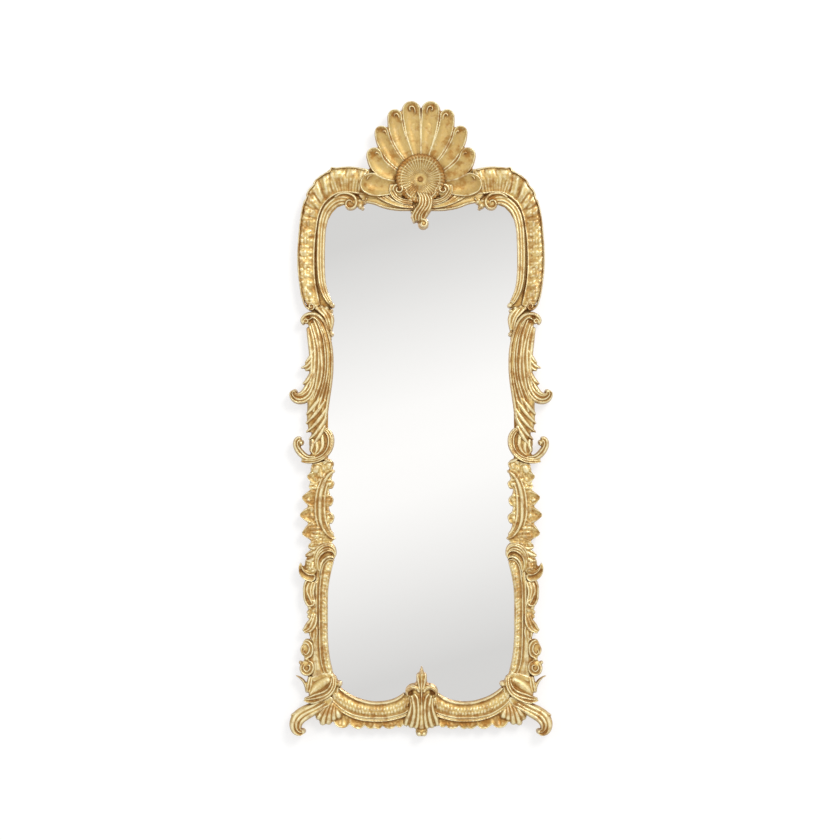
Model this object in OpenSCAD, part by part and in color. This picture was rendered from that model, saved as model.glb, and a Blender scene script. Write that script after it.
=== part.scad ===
// Tall carved and gilded wall mirror in the rococo manner.
// A flat timber carcass carries the glass, and separate relief carvings are glued to its face.
// Millimetres. Up is +Z and the front looks along -Y. The origin lies on the wall plane,
// at the middle of the pad behind the bottom rail.

/* [Mirror plate] */
// Width of the glass
plate_w = 600; // [570:5:640]
// Height of the glass
plate_h = 1520; // [1440:10:1600]
// Thickness of the glass
plate_t = 5; // [4:0.5:6]
// Room between the glass edge and the carcass, all round
plate_gap = 1.5; // [1:0.25:2.5]
// Thickness of the felt strip between the glass and the mouldings
felt_t = 1; // [0.6:0.2:1.6]
// Width of the felt strip
felt_w = 5; // [3:0.5:6]

/* [Carcass] */
// Thickness of the timber carcass
carcass_t = 19; // [16:1:24]
// Thickness of the lip that stands in front of the glass
lip_t = 5; // [4:0.5:7]
// Height of the bottom rail below the glass opening
rail_drop = 43.5; // [40:0.5:50]
// Length of the half-lap joints, measured in from the stiles
lap_l = 60; // [40:5:80]
// Radius of the dowels that pin the laps
dowel_r = 4; // [3:0.5:5]

/* [Back] */
// Thickness of the backing board
board_t = 4; // [3:0.5:6]
// Overlap of the backing board on the carcass
board_lap = 14; // [12:0.5:14.5]
// Width of the timber fillets that hold the glass
fillet_w = 12; // [8:1:16]
// Thickness of the wall pads
pad_t = 8; // [7:0.5:12]
// Radius of the wall pads
pad_r = 8; // [6:0.5:9]
// Radius of the wood screws' shanks
screw_r = 1.75; // [1.25:0.25:2]
// Radius of the wood screws' heads
screw_head_r = 3.5; // [3:0.25:4]
// Length of the wood screws
screw_l = 15; // [12:0.5:16]

/* [Hangers] */
// Radius of the wire of each hanging ring
ring_wire_r = 2; // [1.5:0.25:2.25]
// Width of the ring's eye
ring_eye_w = 26; // [22:1:32]
// Length of the ring's straight legs
ring_leg = 6; // [4:1:10]
// Running clearance between the ring and its strap
ring_play = 0.08; // [0.05:0.01:0.1]
// Thickness of the strap
strap_t = 1.5; // [1:0.25:1.5]
// Width of the strap
strap_w = 16; // [12:1:18]
// Length of the strap's plate below the ring
strap_l = 62; // [56:1:80]
// Distance of the hanging line below the top of the glass
hang_drop = 147; // [100:1:200]

/* [Relief] */
// Height of the sight and base mouldings above the carcass
moulding_h = 17; // [12:1:24]
// Height of the ruffled shoulder band
frill_h = 20; // [14:1:28]
// Height of the rim that runs round the shoulders
rim_h = 22; // [16:1:30]
// Height of the brackets, scrolls and leaves
leaf_h = 32; // [22:1:42]
// Height of the rocaille panels
panel_h = 26; // [18:1:34]
// Height of the roses
rose_h = 24; // [16:1:32]
// Height of the shell's lobes at their tips
shell_h = 44; // [30:1:56]
// Height of the fluted rosette in the shell
rosette_h = 40; // [28:1:50]
// Flutes in the rosette
rosette_flutes = 28; // [20:2:36]
// Gap left between neighbouring carvings
carving_gap = 0.4; // [0.3:0.1:0.8]

/* [Hidden] */

gilt = "#d9b562";
timber = "#b98d5b";
steel = "#c9a85a";

// The outlines are drawn for a glass of 600 by 1520 mm and stretch with the real one.
wide = plate_w / 600;
tall = plate_h / 1520;
plate_z = 27;

back = pad_t;
front = back + carcass_t;
open_x = plate_w / 2 + plate_gap;
open_z0 = plate_z - plate_gap;
open_z1 = plate_z + plate_h + plate_gap;
lip_back = front - lip_t;
glass_front = lip_back - felt_t;
glass_back = glass_front - plate_t;
bottom_edge = open_z0 - rail_drop;
hang_z = plate_z + plate_h - hang_drop;
through = 300;

function place(x, z) = [x * wide, plate_z + (z - plate_z) * tall];

// Everything is drawn lying on its back: X across, Y up the mirror, Z away from the wall.
module standing() { rotate([90, 0, 0]) children(); }

module both_sides() {
    children();
    mirror([1, 0, 0]) children();
}

// Smooth curve through points that hold [x, z, half width, share of the relief height].
function curve_point(a, b, c, d, t) =
    0.5 * (2 * b + (c - a) * t + (2 * a - 5 * b + 4 * c - d) * t * t
        + (3 * b - a - 3 * c + d) * t * t * t);
function last(p) = p[len(p) - 1];
function smooth(p, steps) = [
    for (i = [0:len(p) - 2]) for (k = [0:steps - 1])
        curve_point(p[max(i - 1, 0)], p[i], p[i + 1], p[min(i + 2, len(p) - 1)], k / steps),
    last(p)];
function sound(p) = [for (q = p) [q[0], q[1], max(q[2], 0.8), max(q[3], 0.08)]];
function heading(p, i) =
    let (a = p[max(i - 1, 0)], b = p[min(i + 1, len(p) - 1)]) atan2(b[1] - a[1], b[0] - a[0]);

// Cross-sections across a stroke, as [side, height] from -1 to 1 and 0 to 1.
round_section = [[-1, 0], [-0.8, 0.7], [0, 1], [0.8, 0.7], [1, 0]];
block_section = [[-1, 0], [-1, 1], [1, 1], [1, 0]];
reeded_section = [[-1, 0], [-1, 0.7], [-0.67, 1], [-0.34, 0.7], [0, 1], [0.34, 0.7], [0.67, 1], [1, 0.7], [1, 0]];
panel_section = [[-1, 0], [-1, 0.5], [-0.5, 0.85], [0.1, 0.85], [0.42, 0.5], [0.6, 1], [0.85, 1], [1, 0.7], [1, 0]];
base_section = [[-1, 0], [-1, 0.8], [-0.85, 1], [-0.68, 0.6], [-0.1, 0.85], [0.68, 0.6], [0.85, 1], [1, 0.8], [1, 0]];

function ring(q, angle, section, low, h) = [
    for (s = section) [
        q[0] - sin(angle) * s[0] * q[2],
        q[1] + cos(angle) * s[0] * q[2],
        low + s[1] * h * q[3]]];

module slice(a, b, n) {
    hull() polyhedron(
        points = concat(a, b),
        faces = [
            [for (i = [n - 1:-1:0]) i],
            [for (i = [0:n - 1]) n + i],
            for (i = [0:n - 1]) [i, (i + 1) % n, n + (i + 1) % n, n + i]]);
}

// A relief bar along a curve: flat back on the carcass, rounded face.
module stroke(points, h, steps = 2) {
    p = smooth(sound(points), steps);
    for (i = [0:len(p) - 2])
        slice(
            ring(p[i], heading(p, i), round_section, front, h),
            ring(p[i + 1], heading(p, i + 1), round_section, front, h),
            len(round_section));
}

// A moulding of one section all along a gentle curve.
module moulding(points, section, h, steps = 2) {
    p = smooth(sound(points), steps);
    n = len(section);
    m = len(p);
    polyhedron(
        points = [for (i = [0:m - 1]) each ring(p[i], heading(p, i), section, front, h)],
        faces = [
            [for (i = [n - 1:-1:0]) i],
            [for (i = [0:n - 1]) (m - 1) * n + i],
            for (j = [0:m - 2]) for (i = [0:n - 1])
                [j * n + i, j * n + (i + 1) % n, (j + 1) * n + (i + 1) % n, (j + 1) * n + i]]);
}

module strokes(list, h, steps = 2) {
    for (s = list) stroke(s, h, steps);
}

// The room that a carving's strokes take, cut out of the carvings behind it.
module room_for(list) {
    for (s = list) {
        p = [for (q = smooth(sound(s), 2)) [q[0], q[1], q[2] + carving_gap, 1]];
        for (i = [0:len(p) - 2])
            slice(
                ring(p[i], heading(p, i), block_section, front - 1, through),
                ring(p[i + 1], heading(p, i + 1), block_section, front - 1, through),
                len(block_section));
    }
}

// A domed knob on the carcass.
module boss(x, z, r, h, sides = 16) {
    translate([x, z, front]) hull() {
        cylinder(r = r, h = h * 0.35, $fn = sides);
        cylinder(r = r * 0.75, h = h * 0.8, $fn = sides);
        cylinder(r = r * 0.35, h = h, $fn = sides);
    }
}

module room_for_boss(x, z, r) {
    translate([x, z, front - 1]) cylinder(r = r + carving_gap, h = through, $fn = 24);
}

// A bar whose width and height ripple along its length.
module ruffle(points, h, steps, swing, dip) {
    p = smooth(sound(points), steps);
    q = [for (i = [0:len(p) - 1]) [
        p[i][0], p[i][1],
        p[i][2] - (i % 2) * swing,
        p[i][3] * (1 - (i % 2) * dip)]];
    for (i = [0:len(q) - 2])
        slice(
            ring(q[i], heading(q, i), round_section, front, h),
            ring(q[i + 1], heading(q, i + 1), round_section, front, h),
            len(round_section));
}

// Outlines of the carvings on the right-hand side: x, z, half width, share of the height.
lobe_1 = [[12, 1672, 10, 0.4], [20, 1710, 16, 0.55], [26, 1755, 22, 0.75], [28, 1795, 29, 0.95],
    [28.5, 1821, 26, 1], [28.5, 1836, 15, 0.85], [28.5, 1843, 4, 0.5]];
lobe_2 = [[32, 1668, 10, 0.4], [52, 1706, 16, 0.55], [68, 1746, 22, 0.75], [75, 1780, 25, 0.95],
    [77, 1800, 22, 1], [78, 1813, 12, 0.85], [78, 1819, 3, 0.5]];
lobe_3 = [[50, 1648, 11, 0.4], [82, 1682, 18, 0.55], [102, 1710, 23, 0.75], [112, 1736, 25, 0.95],
    [115, 1752, 21, 1], [116, 1762, 12, 0.85], [116, 1769, 3, 0.5]];
lobe_4 = [[60, 1622, 12, 0.4], [94, 1640, 20, 0.55], [122, 1660, 24, 0.8], [134, 1680, 24, 0.95],
    [138, 1694, 20, 1], [140, 1702, 12, 0.85], [141, 1708, 3, 0.5]];
lobes = [lobe_1, lobe_2, lobe_3, lobe_4];
side_lobe = [[92, 1592, 20, 0.55], [112, 1588, 28, 0.75], [140, 1594, 32, 0.9],
    [158, 1600, 30, 1], [171, 1605, 19, 0.8], [179, 1608, 5, 0.5]];
crest_volute = [[[96, 1556, 5, 0.6], [78, 1550, 7, 0.8], [58, 1553, 8, 0.9], [42, 1566, 8, 1],
    [40, 1584, 8, 1], [54, 1597, 7, 1], [71, 1592, 6, 1], [76, 1578, 6, 1], [66, 1570, 7, 1]]];
volute_eye = [58, 1576, 12];
crest_leaf = [
    [[140, 1560, 3, 0.4], [118, 1554, 6, 0.6], [92, 1542, 6, 0.6], [62, 1536, 4, 0.4]],
    [[130, 1566, 4, 0.5], [112, 1560, 6, 0.7], [98, 1552, 5, 0.6]]];
apron_edge = [[0, 1526, 12, 1], [33, 1526, 12, 1], [66, 1527, 12, 1], [99, 1533, 11, 1],
    [129, 1544, 9, 0.9], [158, 1551, 7, 0.8]];
pendant = [
    [[-14, 1570, 5, 0.6], [-11, 1550, 6, 0.8], [-16, 1528, 7, 0.9], [-25, 1508, 6, 0.7], [-31, 1499, 3, 0.4]],
    [[0, 1572, 6, 0.6], [4, 1550, 7, 0.9], [-3, 1524, 8, 1], [-12, 1500, 7, 0.8], [-22, 1482, 4, 0.4]],
    [[14, 1570, 5, 0.6], [20, 1552, 6, 0.8], [16, 1528, 7, 1], [5, 1506, 8, 1], [1, 1486, 8, 1],
        [8, 1472, 7, 1], [19, 1472, 6, 0.9], [20, 1484, 5, 0.8], [11, 1486, 5, 0.9]]];
shoulder_rim = [[[166, 1640, 3.5, 0.8], [213, 1641, 4, 1], [256, 1637, 4, 1], [286, 1619, 4, 1],
    [320, 1592, 4, 1], [341, 1558, 4, 1], [353, 1514, 4, 1], [360.5, 1460, 4, 1], [365, 1395, 4, 1],
    [366.5, 1359, 4, 1], [362, 1291, 4, 1], [356, 1252, 4, 1], [348, 1230, 4, 1], [335, 1215, 4, 1],
    [323, 1218, 4, 1], [321, 1229, 4, 1], [331, 1233, 5, 1.1]]];
shoulder_frill = [[172, 1606, 29, 0.8], [213, 1607, 30, 1], [250, 1599, 31, 1], [280, 1583, 29, 1],
    [303, 1563, 26, 1], [327, 1515, 20, 1], [335, 1455, 18, 0.9], [338, 1380, 18, 0.9],
    [334, 1305, 18, 0.9], [324, 1255, 17, 0.85], [308, 1226, 12, 0.7]];
upper_moulding = [[228, 1551, 11, 0.8], [248, 1549, 12, 1], [268, 1535, 12, 1], [283, 1515, 12, 1],
    [294, 1482, 12, 1], [300, 1431, 12, 1], [301, 1380, 12, 1], [299, 1320, 12, 1],
    [293, 1281, 12, 1], [284, 1251, 11, 1], [274, 1231, 8, 1]];
upper_curls = [
    [[240, 1560, 5, 0.9], [216, 1563, 5, 1], [201, 1553, 5, 1], [198, 1537, 5, 0.9], [206, 1527, 5, 0.8]],
    [[196, 1566, 6, 0.8], [180, 1557, 7, 0.9], [168, 1541, 6, 0.9], [172, 1527, 5, 0.8]]];
upper_knobs = [[213, 1541, 8.6], [183, 1536, 9.3]];
neck_leaf = [[[304, 1208, 9, 0.5], [286, 1203, 12, 0.6], [276, 1188, 11, 0.7], [271, 1166, 9, 0.7],
    [269, 1150, 7, 0.6], [270, 1142, 4, 0.4]]];
bracket = [
    [[336, 1196, 7, 0.7], [318, 1192, 9, 0.8], [299, 1168, 10, 0.9], [285, 1132, 10, 1], [276, 1095, 10, 1],
        [272, 1050, 10, 1], [273, 1012, 10, 1], [279, 970, 10, 0.95], [287, 930, 10, 0.9],
        [296, 890, 9, 0.8], [301, 862, 8, 0.7]],
    [[334, 1186, 7, 0.7], [317, 1168, 8, 0.8], [303, 1131, 8, 0.85], [295, 1089, 9, 0.85],
        [293, 1040, 9, 0.85], [299, 985, 9, 0.8], [311, 950, 9, 0.75]],
    [[300, 1015, 12, 0.6], [304, 970, 15, 0.65], [312, 925, 22, 0.7], [315, 885, 20, 0.7],
        [315, 860, 17, 0.6]],
    [[349, 1174, 6, 0.8], [353, 1187, 6, 0.9], [344, 1198, 6, 0.9], [333, 1194, 6, 0.8]]];
bracket_leaf = [
    [[332, 1150, 9, 0.5], [325, 1110, 13, 0.7], [322, 1060, 17, 0.85], [325, 1010, 17, 0.9],
        [338, 968, 15, 0.9], [360, 950, 11, 0.95], [379, 948, 8, 1], [390, 961, 7, 1],
        [386, 976, 6, 0.9], [376, 976, 5, 0.8]],
    [[328, 1085, 9, 0.6], [343, 1066, 7, 0.55], [360, 1044, 2.5, 0.4]],
    [[332, 1030, 10, 0.6], [345, 1010, 6, 0.5], [355, 994, 2.5, 0.4]]];
ear_scroll = [
    [[358, 806, 6, 0.8], [360, 824, 7, 0.9], [370, 829, 6, 0.9], [377, 812, 7, 0.95], [372, 788, 7, 0.95],
        [352, 769, 8, 1], [318, 762, 8, 1], [290, 772, 8, 1], [274, 795, 7, 1], [269, 822, 7, 1],
        [276, 845, 7, 0.9], [290, 856, 6, 0.8]],
    [[302, 842, 24, 0.5], [305, 815, 31, 0.55], [306, 790, 26, 0.5]]];
rocaille_field = [[298, 752, 26, 0.5], [296, 733, 35, 0.6], [301, 713, 29, 0.6], [301, 692, 38, 0.65],
    [306, 668, 33, 0.65], [312, 642, 46, 0.7], [311, 620, 36, 0.65], [313, 598, 50, 0.7],
    [309, 572, 39, 0.65], [312, 549, 46, 0.65], [306, 527, 38, 0.6], [304, 512, 34, 0.55]];
rocaille_stem = [[260, 733, 5, 0.8], [275, 717, 6, 0.9], [288, 692, 7, 1], [294, 660, 8, 1],
    [299, 624, 8, 1], [302, 588, 8, 1], [295, 562, 7, 1], [280, 543, 6, 0.9], [262, 531, 5, 0.8]];
knee_leaf = [
    [[263, 478, 6, 0.8], [268, 494, 8, 0.9], [284, 505, 9, 1], [303, 501, 10, 1], [314, 484, 9, 1],
        [319, 459, 8, 0.9], [322, 432, 7, 0.8], [326, 408, 5, 0.6]],
    [[296, 508, 7, 0.7], [322, 505, 9, 0.8], [336, 484, 9, 0.85], [341, 458, 9, 0.85], [342, 434, 9, 0.8],
        [350, 420, 8, 0.8], [362, 432, 6, 0.8], [366, 452, 3, 0.5]]];
lower_moulding = [[284, 466, 10, 0.8], [288, 446, 15, 1], [293, 412, 16, 1], [297, 375, 14, 1],
    [298, 300, 13.5, 1], [297, 240, 13.5, 1], [295, 200, 14, 1], [291, 160, 15, 1], [284, 130, 14, 1],
    [276, 110, 10, 0.8]];
garland = [
    [[322, 402, 8, 0.5], [321, 330, 8, 0.5], [320, 270, 8, 0.5], [320, 226, 8, 0.5]],
    [[334, 412, 5, 0.9], [345, 392, 5, 1], [347, 362, 5, 1], [341, 339, 5, 1], [330, 336, 5, 0.9]],
    [[322, 322, 8, 0.7], [335, 312, 8, 0.8], [334, 296, 6, 0.6]],
    [[322, 266, 9, 0.7], [341, 262, 8, 0.8], [358, 256, 3, 0.5]]];
roses = [[340, 204, 20], [342, 149, 22]];
corner_leaf = [
    [[262, 112, 7, 0.8], [263, 84, 10, 1], [280, 58, 12, 1], [312, 44, 11, 1], [336, 40, 7, 0.8],
        [352, 36, 2.5, 0.5]],
    [[282, 100, 18, 0.7], [302, 90, 22, 0.8], [321, 74, 20, 0.8], [337, 58, 12, 0.7]],
    [[338, 66, 6, 0.6], [346, 90, 5, 0.6], [358, 107, 3.5, 0.5], [372, 117, 1.5, 0.4]]];
corner_bead = [251, 91, 10];
foot_scroll = [
    [[268, 40, 8, 0.6], [298, 24, 11, 0.8], [330, 10, 12, 0.9], [358, -3, 12, 1], [376, -18, 13, 1],
        [382, -36, 12, 1], [374, -50, 11, 1], [361, -53, 9, 0.9], [353, -45, 6, 0.8]],
    [[340, 14, 9, 0.7], [368, 8, 6, 0.6], [393, -1, 2.5, 0.4]]];
base_moulding = [[258, 64, 18, 0.9], [240, 47, 21, 1], [213, 31, 22, 1], [168, 19, 22, 1],
    [123, 15, 22, 1], [81, 21, 21, 1], [51, 35, 19, 1], [34, 50, 16, 0.9]];
base_hem = [[243, 0, 13, 0.6], [228, -10, 13, 0.7], [198, -22, 13, 0.7], [168, -27, 13, 0.7],
    [138, -28, 12, 0.7], [108, -27, 12, 0.7], [78, -24, 13, 0.7], [50, -18, 13, 0.7], [30, -14, 12, 0.6]];
corner_fan = [
    [[272, 36, 6, 0.6], [294, 14, 8, 0.8], [308, -6, 6, 0.6]],
    [[268, 34, 6, 0.6], [286, 2, 8, 0.9], [298, -28, 6, 0.6]],
    [[262, 34, 6, 0.6], [272, 0, 8, 0.9], [279, -31, 6, 0.6]],
    [[256, 34, 6, 0.6], [256, 4, 8, 0.8], [258, -20, 6, 0.6]]];
palmette_side = [
    [[9, 78, 4, 0.7], [19, 55, 7, 0.85], [23, 22, 8, 0.9], [29, -10, 8, 0.9], [42, -37, 6, 0.7]],
    [[10, 74, 4, 0.8], [22, 88, 7, 1], [38, 83, 8, 1], [47, 68, 7, 1], [42, 56, 6, 0.9]],
    [[15, 40, 8, 0.7], [16, 0, 9, 0.8], [20, -32, 8, 0.7]]];
palmette_stem = [[0, 145, 1.5, 0.3], [0, 128, 10, 0.6], [0, 112, 15, 0.7], [0, 96, 11, 0.8],
    [0, 60, 9, 1], [0, 10, 9, 1], [0, -30, 11, 0.9], [0, -50, 16, 0.8], [0, -62, 15, 0.6], [0, -67, 8, 0.4]];

// Outer outline of the carcass on the right-hand side, kept behind the carvings.
carcass_side = [[0, 1790], [45, 1785], [88, 1752], [110, 1710], [132, 1660], [160, 1637], [213, 1638],
    [252, 1633], [283, 1615], [316, 1589], [337, 1556], [349, 1513], [356, 1460], [361, 1395],
    [362, 1359], [358, 1291], [352, 1252], [344, 1232], [332, 1216], [327, 1206], [336, 1180],
    [333, 1150], [330, 1100], [329, 1050], [331, 980], [332, 930], [330, 880], [329, 855], [333, 800],
    [330, 768], [326, 748], [330, 690], [334, 640], [330, 560], [332, 500], [334, 440], [334, 340],
    [330, 290], [334, 230], [336, 150], [338, 60], [322, 14], [300, -6]];

// Edge of the lip, just outside the sight line of the carvings.
sight_side = [[0, 1524], [66, 1525], [99, 1532], [129, 1538], [168, 1540], [200, 1536], [228, 1534],
    [252, 1525], [268, 1508], [280, 1486], [287, 1455], [292, 1410], [293, 1380], [292, 1335],
    [288, 1296], [279, 1268], [272, 1240], [272, 1142], [277, 1110], [272, 1050], [273, 1000],
    [279, 940], [280, 860], [276, 500], [278, 466], [280, 412], [285, 375], [286, 300], [285, 240],
    [282, 200], [277, 160], [268, 110], [240, 68], [213, 50], [189, 39], [129, 33], [78, 42],
    [48, 60], [0, 60]];

module outline() {
    right = [for (q = carcass_side) place(q[0], q[1])];
    corner = [last(right)[0] - 8, bottom_edge];
    left = [for (i = [len(right) - 1:-1:1]) [-right[i][0], right[i][1]]];
    polygon(concat(right, [corner], [[-corner[0], corner[1]]], left));
}

module window() {
    translate([-open_x, open_z0]) square([2 * open_x, open_z1 - open_z0]);
}

module sight() {
    right = [for (q = sight_side) place(q[0], q[1])];
    left = [for (i = [len(right) - 1:-1:0]) [-right[i][0], right[i][1]]];
    polygon(concat(right, left));
}

lip_split = plate_w / 3;
// The lip's share that lies between two distances from the centre line and two heights.
module lip(x0, x1, z0, z1) {
    translate([0, 0, lip_back]) linear_extrude(lip_t) intersection() {
        difference() { window(); sight(); }
        translate([x0, z0]) square([x1 - x0, z1 - z0]);
    }
}

lap_x = open_x - lap_l;
far = 2000;
half = carcass_t / 2;
dowel_xs = [lap_x + 3.5 * dowel_r, open_x + 2 * dowel_r];
dowel_spots = [
    for (x = dowel_xs) [x, open_z1 + 5 * dowel_r],
    for (x = dowel_xs) [x, open_z0 - 4 * dowel_r]];

module dowel_holes() {
    for (p = dowel_spots) translate([p[0], p[1], back]) cylinder(r = dowel_r, h = carcass_t);
}

// Part of the carcass outline between two heights and two distances from the centre line.
module cell(x0, x1, z0, z1) {
    intersection() {
        difference() { outline(); window(); }
        translate([x0, z0]) square([x1 - x0, z1 - z0]);
    }
}

module rail(z0, z1, lip_z0, lip_z1) {
    color(timber) standing() difference() {
        union() {
            lip(-lip_split, lip_split, lip_z0, lip_z1);
            translate([0, 0, back + half]) linear_extrude(half) cell(-far, far, z0, z1);
            translate([0, 0, back]) linear_extrude(half) cell(-lap_x, lap_x, z0, z1);
        }
        both_sides() dowel_holes();
        end_screw_spots() screw_shape(back - board_t);
    }
}

module stile() {
    difference() {
        union() {
            lip(lip_split, far, open_z0, open_z1);
            translate([0, 0, back]) linear_extrude(carcass_t) cell(open_x, far, open_z0, open_z1);
            translate([0, 0, back]) linear_extrude(half) cell(lap_x, far, open_z1, far);
            translate([0, 0, back]) linear_extrude(half) cell(lap_x, far, -far, open_z0);
        }
        dowel_holes();
        stile_screw_holes();
        hanger_screw_holes();
    }
}

module top_rail() { rail(open_z1, far, plate_z + plate_h / 2, open_z1); }
module bottom_rail() { rail(-far, open_z0, open_z0, plate_z + plate_h / 2); }
module right_stile() { color(timber) standing() stile(); }
module left_stile() { color(timber) standing() mirror([1, 0, 0]) stile(); }

module lap_dowels() {
    color("#a87b49") standing() both_sides() dowel_holes();
}

// Glass, felt, setting blocks, fillets and backing board.
module mirror_plate() {
    color("#dfe4e6") standing() translate([-plate_w / 2, plate_z, glass_back])
        cube([plate_w, plate_h, plate_t]);
}

module rebate_felt() {
    color("#3a3632") standing() translate([0, 0, glass_front]) linear_extrude(felt_t) difference() {
        translate([-plate_w / 2, plate_z]) square([plate_w, plate_h]);
        translate([-plate_w / 2 + felt_w, plate_z + felt_w]) square([plate_w - 2 * felt_w, plate_h - 2 * felt_w]);
    }
}

block_l = plate_w / 12;
block_x = plate_w / 4;
module setting_blocks() {
    color("#2f2d2b") standing() both_sides() translate([block_x - block_l / 2, open_z0, glass_back])
        cube([block_l, plate_gap, plate_t]);
}

fillet_h = glass_back - back;
butt = fillet_w + 0.5;
module glass_fillets() {
    color(timber) standing() translate([0, 0, back]) {
        for (z = [open_z0, open_z1 - fillet_w]) translate([-open_x, z, 0]) cube([2 * open_x, fillet_w, fillet_h]);
        both_sides() translate([open_x - fillet_w, open_z0 + butt, 0])
            cube([fillet_w, open_z1 - open_z0 - 2 * butt, fillet_h]);
    }
}

board_x = open_x + board_lap;
board_z0 = open_z0 - board_lap;
board_z1 = open_z1 + board_lap;
screw_inset = board_lap / 2;
side_screws = 6;
side_screw_margin = plate_h / 25;
function side_screw_z(i) =
    open_z0 + side_screw_margin + i * (open_z1 - open_z0 - 2 * side_screw_margin) / (side_screws - 1);
end_screw_x = open_x / 2;
hanger_screw_drops = [0.56 * strap_l, 0.84 * strap_l];
hanger_x = place(341, 0)[0];

// A countersunk wood screw that points away from the wall, its head flush with height z.
module screw_shape(z) {
    translate([0, 0, z]) {
        cylinder(r1 = screw_head_r, r2 = screw_r, h = screw_head_r - screw_r);
        cylinder(r = screw_r, h = screw_l);
    }
}

module end_screw_spots() {
    both_sides() for (z = [open_z0 - screw_inset, open_z1 + screw_inset])
        translate([end_screw_x, z, 0]) children();
}

module board_screw_spots() {
    both_sides() for (i = [0:side_screws - 1])
        translate([open_x + screw_inset, side_screw_z(i), 0]) children();
    end_screw_spots() children();
}

module stile_screw_holes() {
    for (i = [0:side_screws - 1])
        translate([open_x + screw_inset, side_screw_z(i), 0]) screw_shape(back - board_t);
}

module backing_board() {
    color("#8a6a45") standing() difference() {
        translate([-board_x, board_z0, back - board_t]) cube([2 * board_x, board_z1 - board_z0, board_t]);
        board_screw_spots() screw_shape(back - board_t);
    }
}

module hanger_screw_spots() {
    for (d = hanger_screw_drops) translate([hanger_x, hang_z - d, 0]) children();
}
module hanger_screw_holes() { hanger_screw_spots() screw_shape(back - strap_t); }

module back_screws() {
    color(steel) standing() {
        board_screw_spots() screw_shape(back - board_t);
        both_sides() hanger_screw_spots() screw_shape(back - strap_t);
    }
}

module wall_pads() {
    color("#3b3734") standing() {
        cylinder(r = pad_r, h = pad_t);
        for (p = [place(341, 1290), place(60, 1700)])
            both_sides() translate([p[0], p[1], 0]) cylinder(r = pad_r, h = pad_t);
    }
}

// Each strap is a plate with a rolled loop that the ring's straight bar turns in.
loop_bore = ring_wire_r + ring_play;
loop_r = loop_bore + strap_t;
pivot = back - loop_r - 0.3;

module strap() {
    difference() {
        union() {
            translate([hanger_x - strap_w / 2, hang_z - strap_l, back - strap_t])
                cube([strap_w, strap_l, strap_t]);
            translate([hanger_x - strap_w / 2, hang_z - loop_r, pivot])
                cube([strap_w, loop_r, back - pivot]);
            translate([hanger_x - strap_w / 2, hang_z, pivot]) rotate([0, 90, 0])
                cylinder(r = loop_r, h = strap_w);
        }
        translate([hanger_x - strap_w, hang_z, pivot]) rotate([0, 90, 0])
            cylinder(r = loop_bore, h = 2 * strap_w);
        hanger_screw_holes();
    }
}
module hanger_straps() { color(steel) standing() both_sides() strap(); }

bow_r = ring_eye_w / 2 + ring_wire_r;
module hanger_ring() {
    translate([hanger_x, hang_z, pivot]) {
        translate([-bow_r, 0, 0]) rotate([0, 90, 0]) cylinder(r = ring_wire_r, h = 2 * bow_r);
        for (s = [-1, 1]) {
            translate([s * bow_r, 0, 0]) sphere(r = ring_wire_r);
            translate([s * bow_r, 0, 0]) rotate([90, 0, 0]) cylinder(r = ring_wire_r, h = ring_leg);
        }
        translate([0, -ring_leg, 0]) rotate([0, 0, 180]) rotate_extrude(angle = 180)
            translate([bow_r, 0]) circle(r = ring_wire_r);
    }
}
module right_hanger_ring() { color(steel) standing() hanger_ring(); }
module left_hanger_ring() { color(steel) standing() mirror([1, 0, 0]) hanger_ring(); }

module carving() {
    color(gilt) standing() translate([0, plate_z, 0]) scale([wide, tall, 1]) translate([0, -plate_z, 0]) children();
}
module left_carving() { carving() mirror([1, 0, 0]) children(); }

// Crest.
module shell_fan() {
    carving() difference() {
        both_sides() strokes(lobes, shell_h);
        rosette_room();
        both_sides() {
            room_for([side_lobe]);
            room_for(crest_volute);
        }
    }
}

rosette = [0, 1609.5, 77];
module rosette_room() {
    translate([rosette[0], rosette[1], front - 1])
        cylinder(r = rosette[2] + carving_gap, h = through, $fn = 48);
}

module shell_rosette() {
    turn = 360 / rosette_flutes;
    tip_w = rosette[2] * sin(turn / 2);
    upper = [for (i = [0:rosette_flutes - 1]) let (a = (i + 0.5) * turn) if (a < 212 || a > 328) a];
    carving() difference() {
        union() {
            for (a = upper) translate([rosette[0], rosette[1], front]) rotate([0, 0, a]) hull() {
                translate([10, 0, 0]) cylinder(r = 2, h = rosette_h * 0.4, $fn = 4);
                translate([rosette[2] - tip_w, 0, 0]) cylinder(r = tip_w, h = rosette_h * 0.6, $fn = 8);
                translate([rosette[2] - tip_w, 0, 0]) cylinder(r = tip_w * 0.5, h = rosette_h * 0.85, $fn = 8);
            }
            boss(rosette[0], rosette[1], 22, rosette_h * 0.62, 20);
            boss(rosette[0], rosette[1], 9, rosette_h, 12);
        }
        both_sides() {
            room_for(crest_volute);
            room_for_boss(volute_eye[0], volute_eye[1], volute_eye[2]);
            room_for([side_lobe]);
        }
        room_for(pendant);
    }
}

module side_lobe_shape() {
    difference() {
        stroke(side_lobe, shell_h);
        room_for(crest_volute);
    }
}
module right_side_lobe() { carving() side_lobe_shape(); }
module left_side_lobe() { left_carving() side_lobe_shape(); }

module crest_volute_shape() {
    difference() {
        union() {
            strokes(crest_volute, leaf_h * 1.1);
            boss(volute_eye[0], volute_eye[1], volute_eye[2], leaf_h * 1.2, 12);
        }
        room_for(pendant);
    }
}
module right_crest_volute() { carving() crest_volute_shape(); }
module left_crest_volute() { left_carving() crest_volute_shape(); }

module crest_leaf_shape() {
    difference() {
        strokes(crest_leaf, leaf_h);
        room_for(crest_volute);
        room_for([side_lobe]);
        room_for([apron_edge]);
    }
}
module right_crest_leaf() { carving() crest_leaf_shape(); }
module left_crest_leaf() { left_carving() crest_leaf_shape(); }

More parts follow.
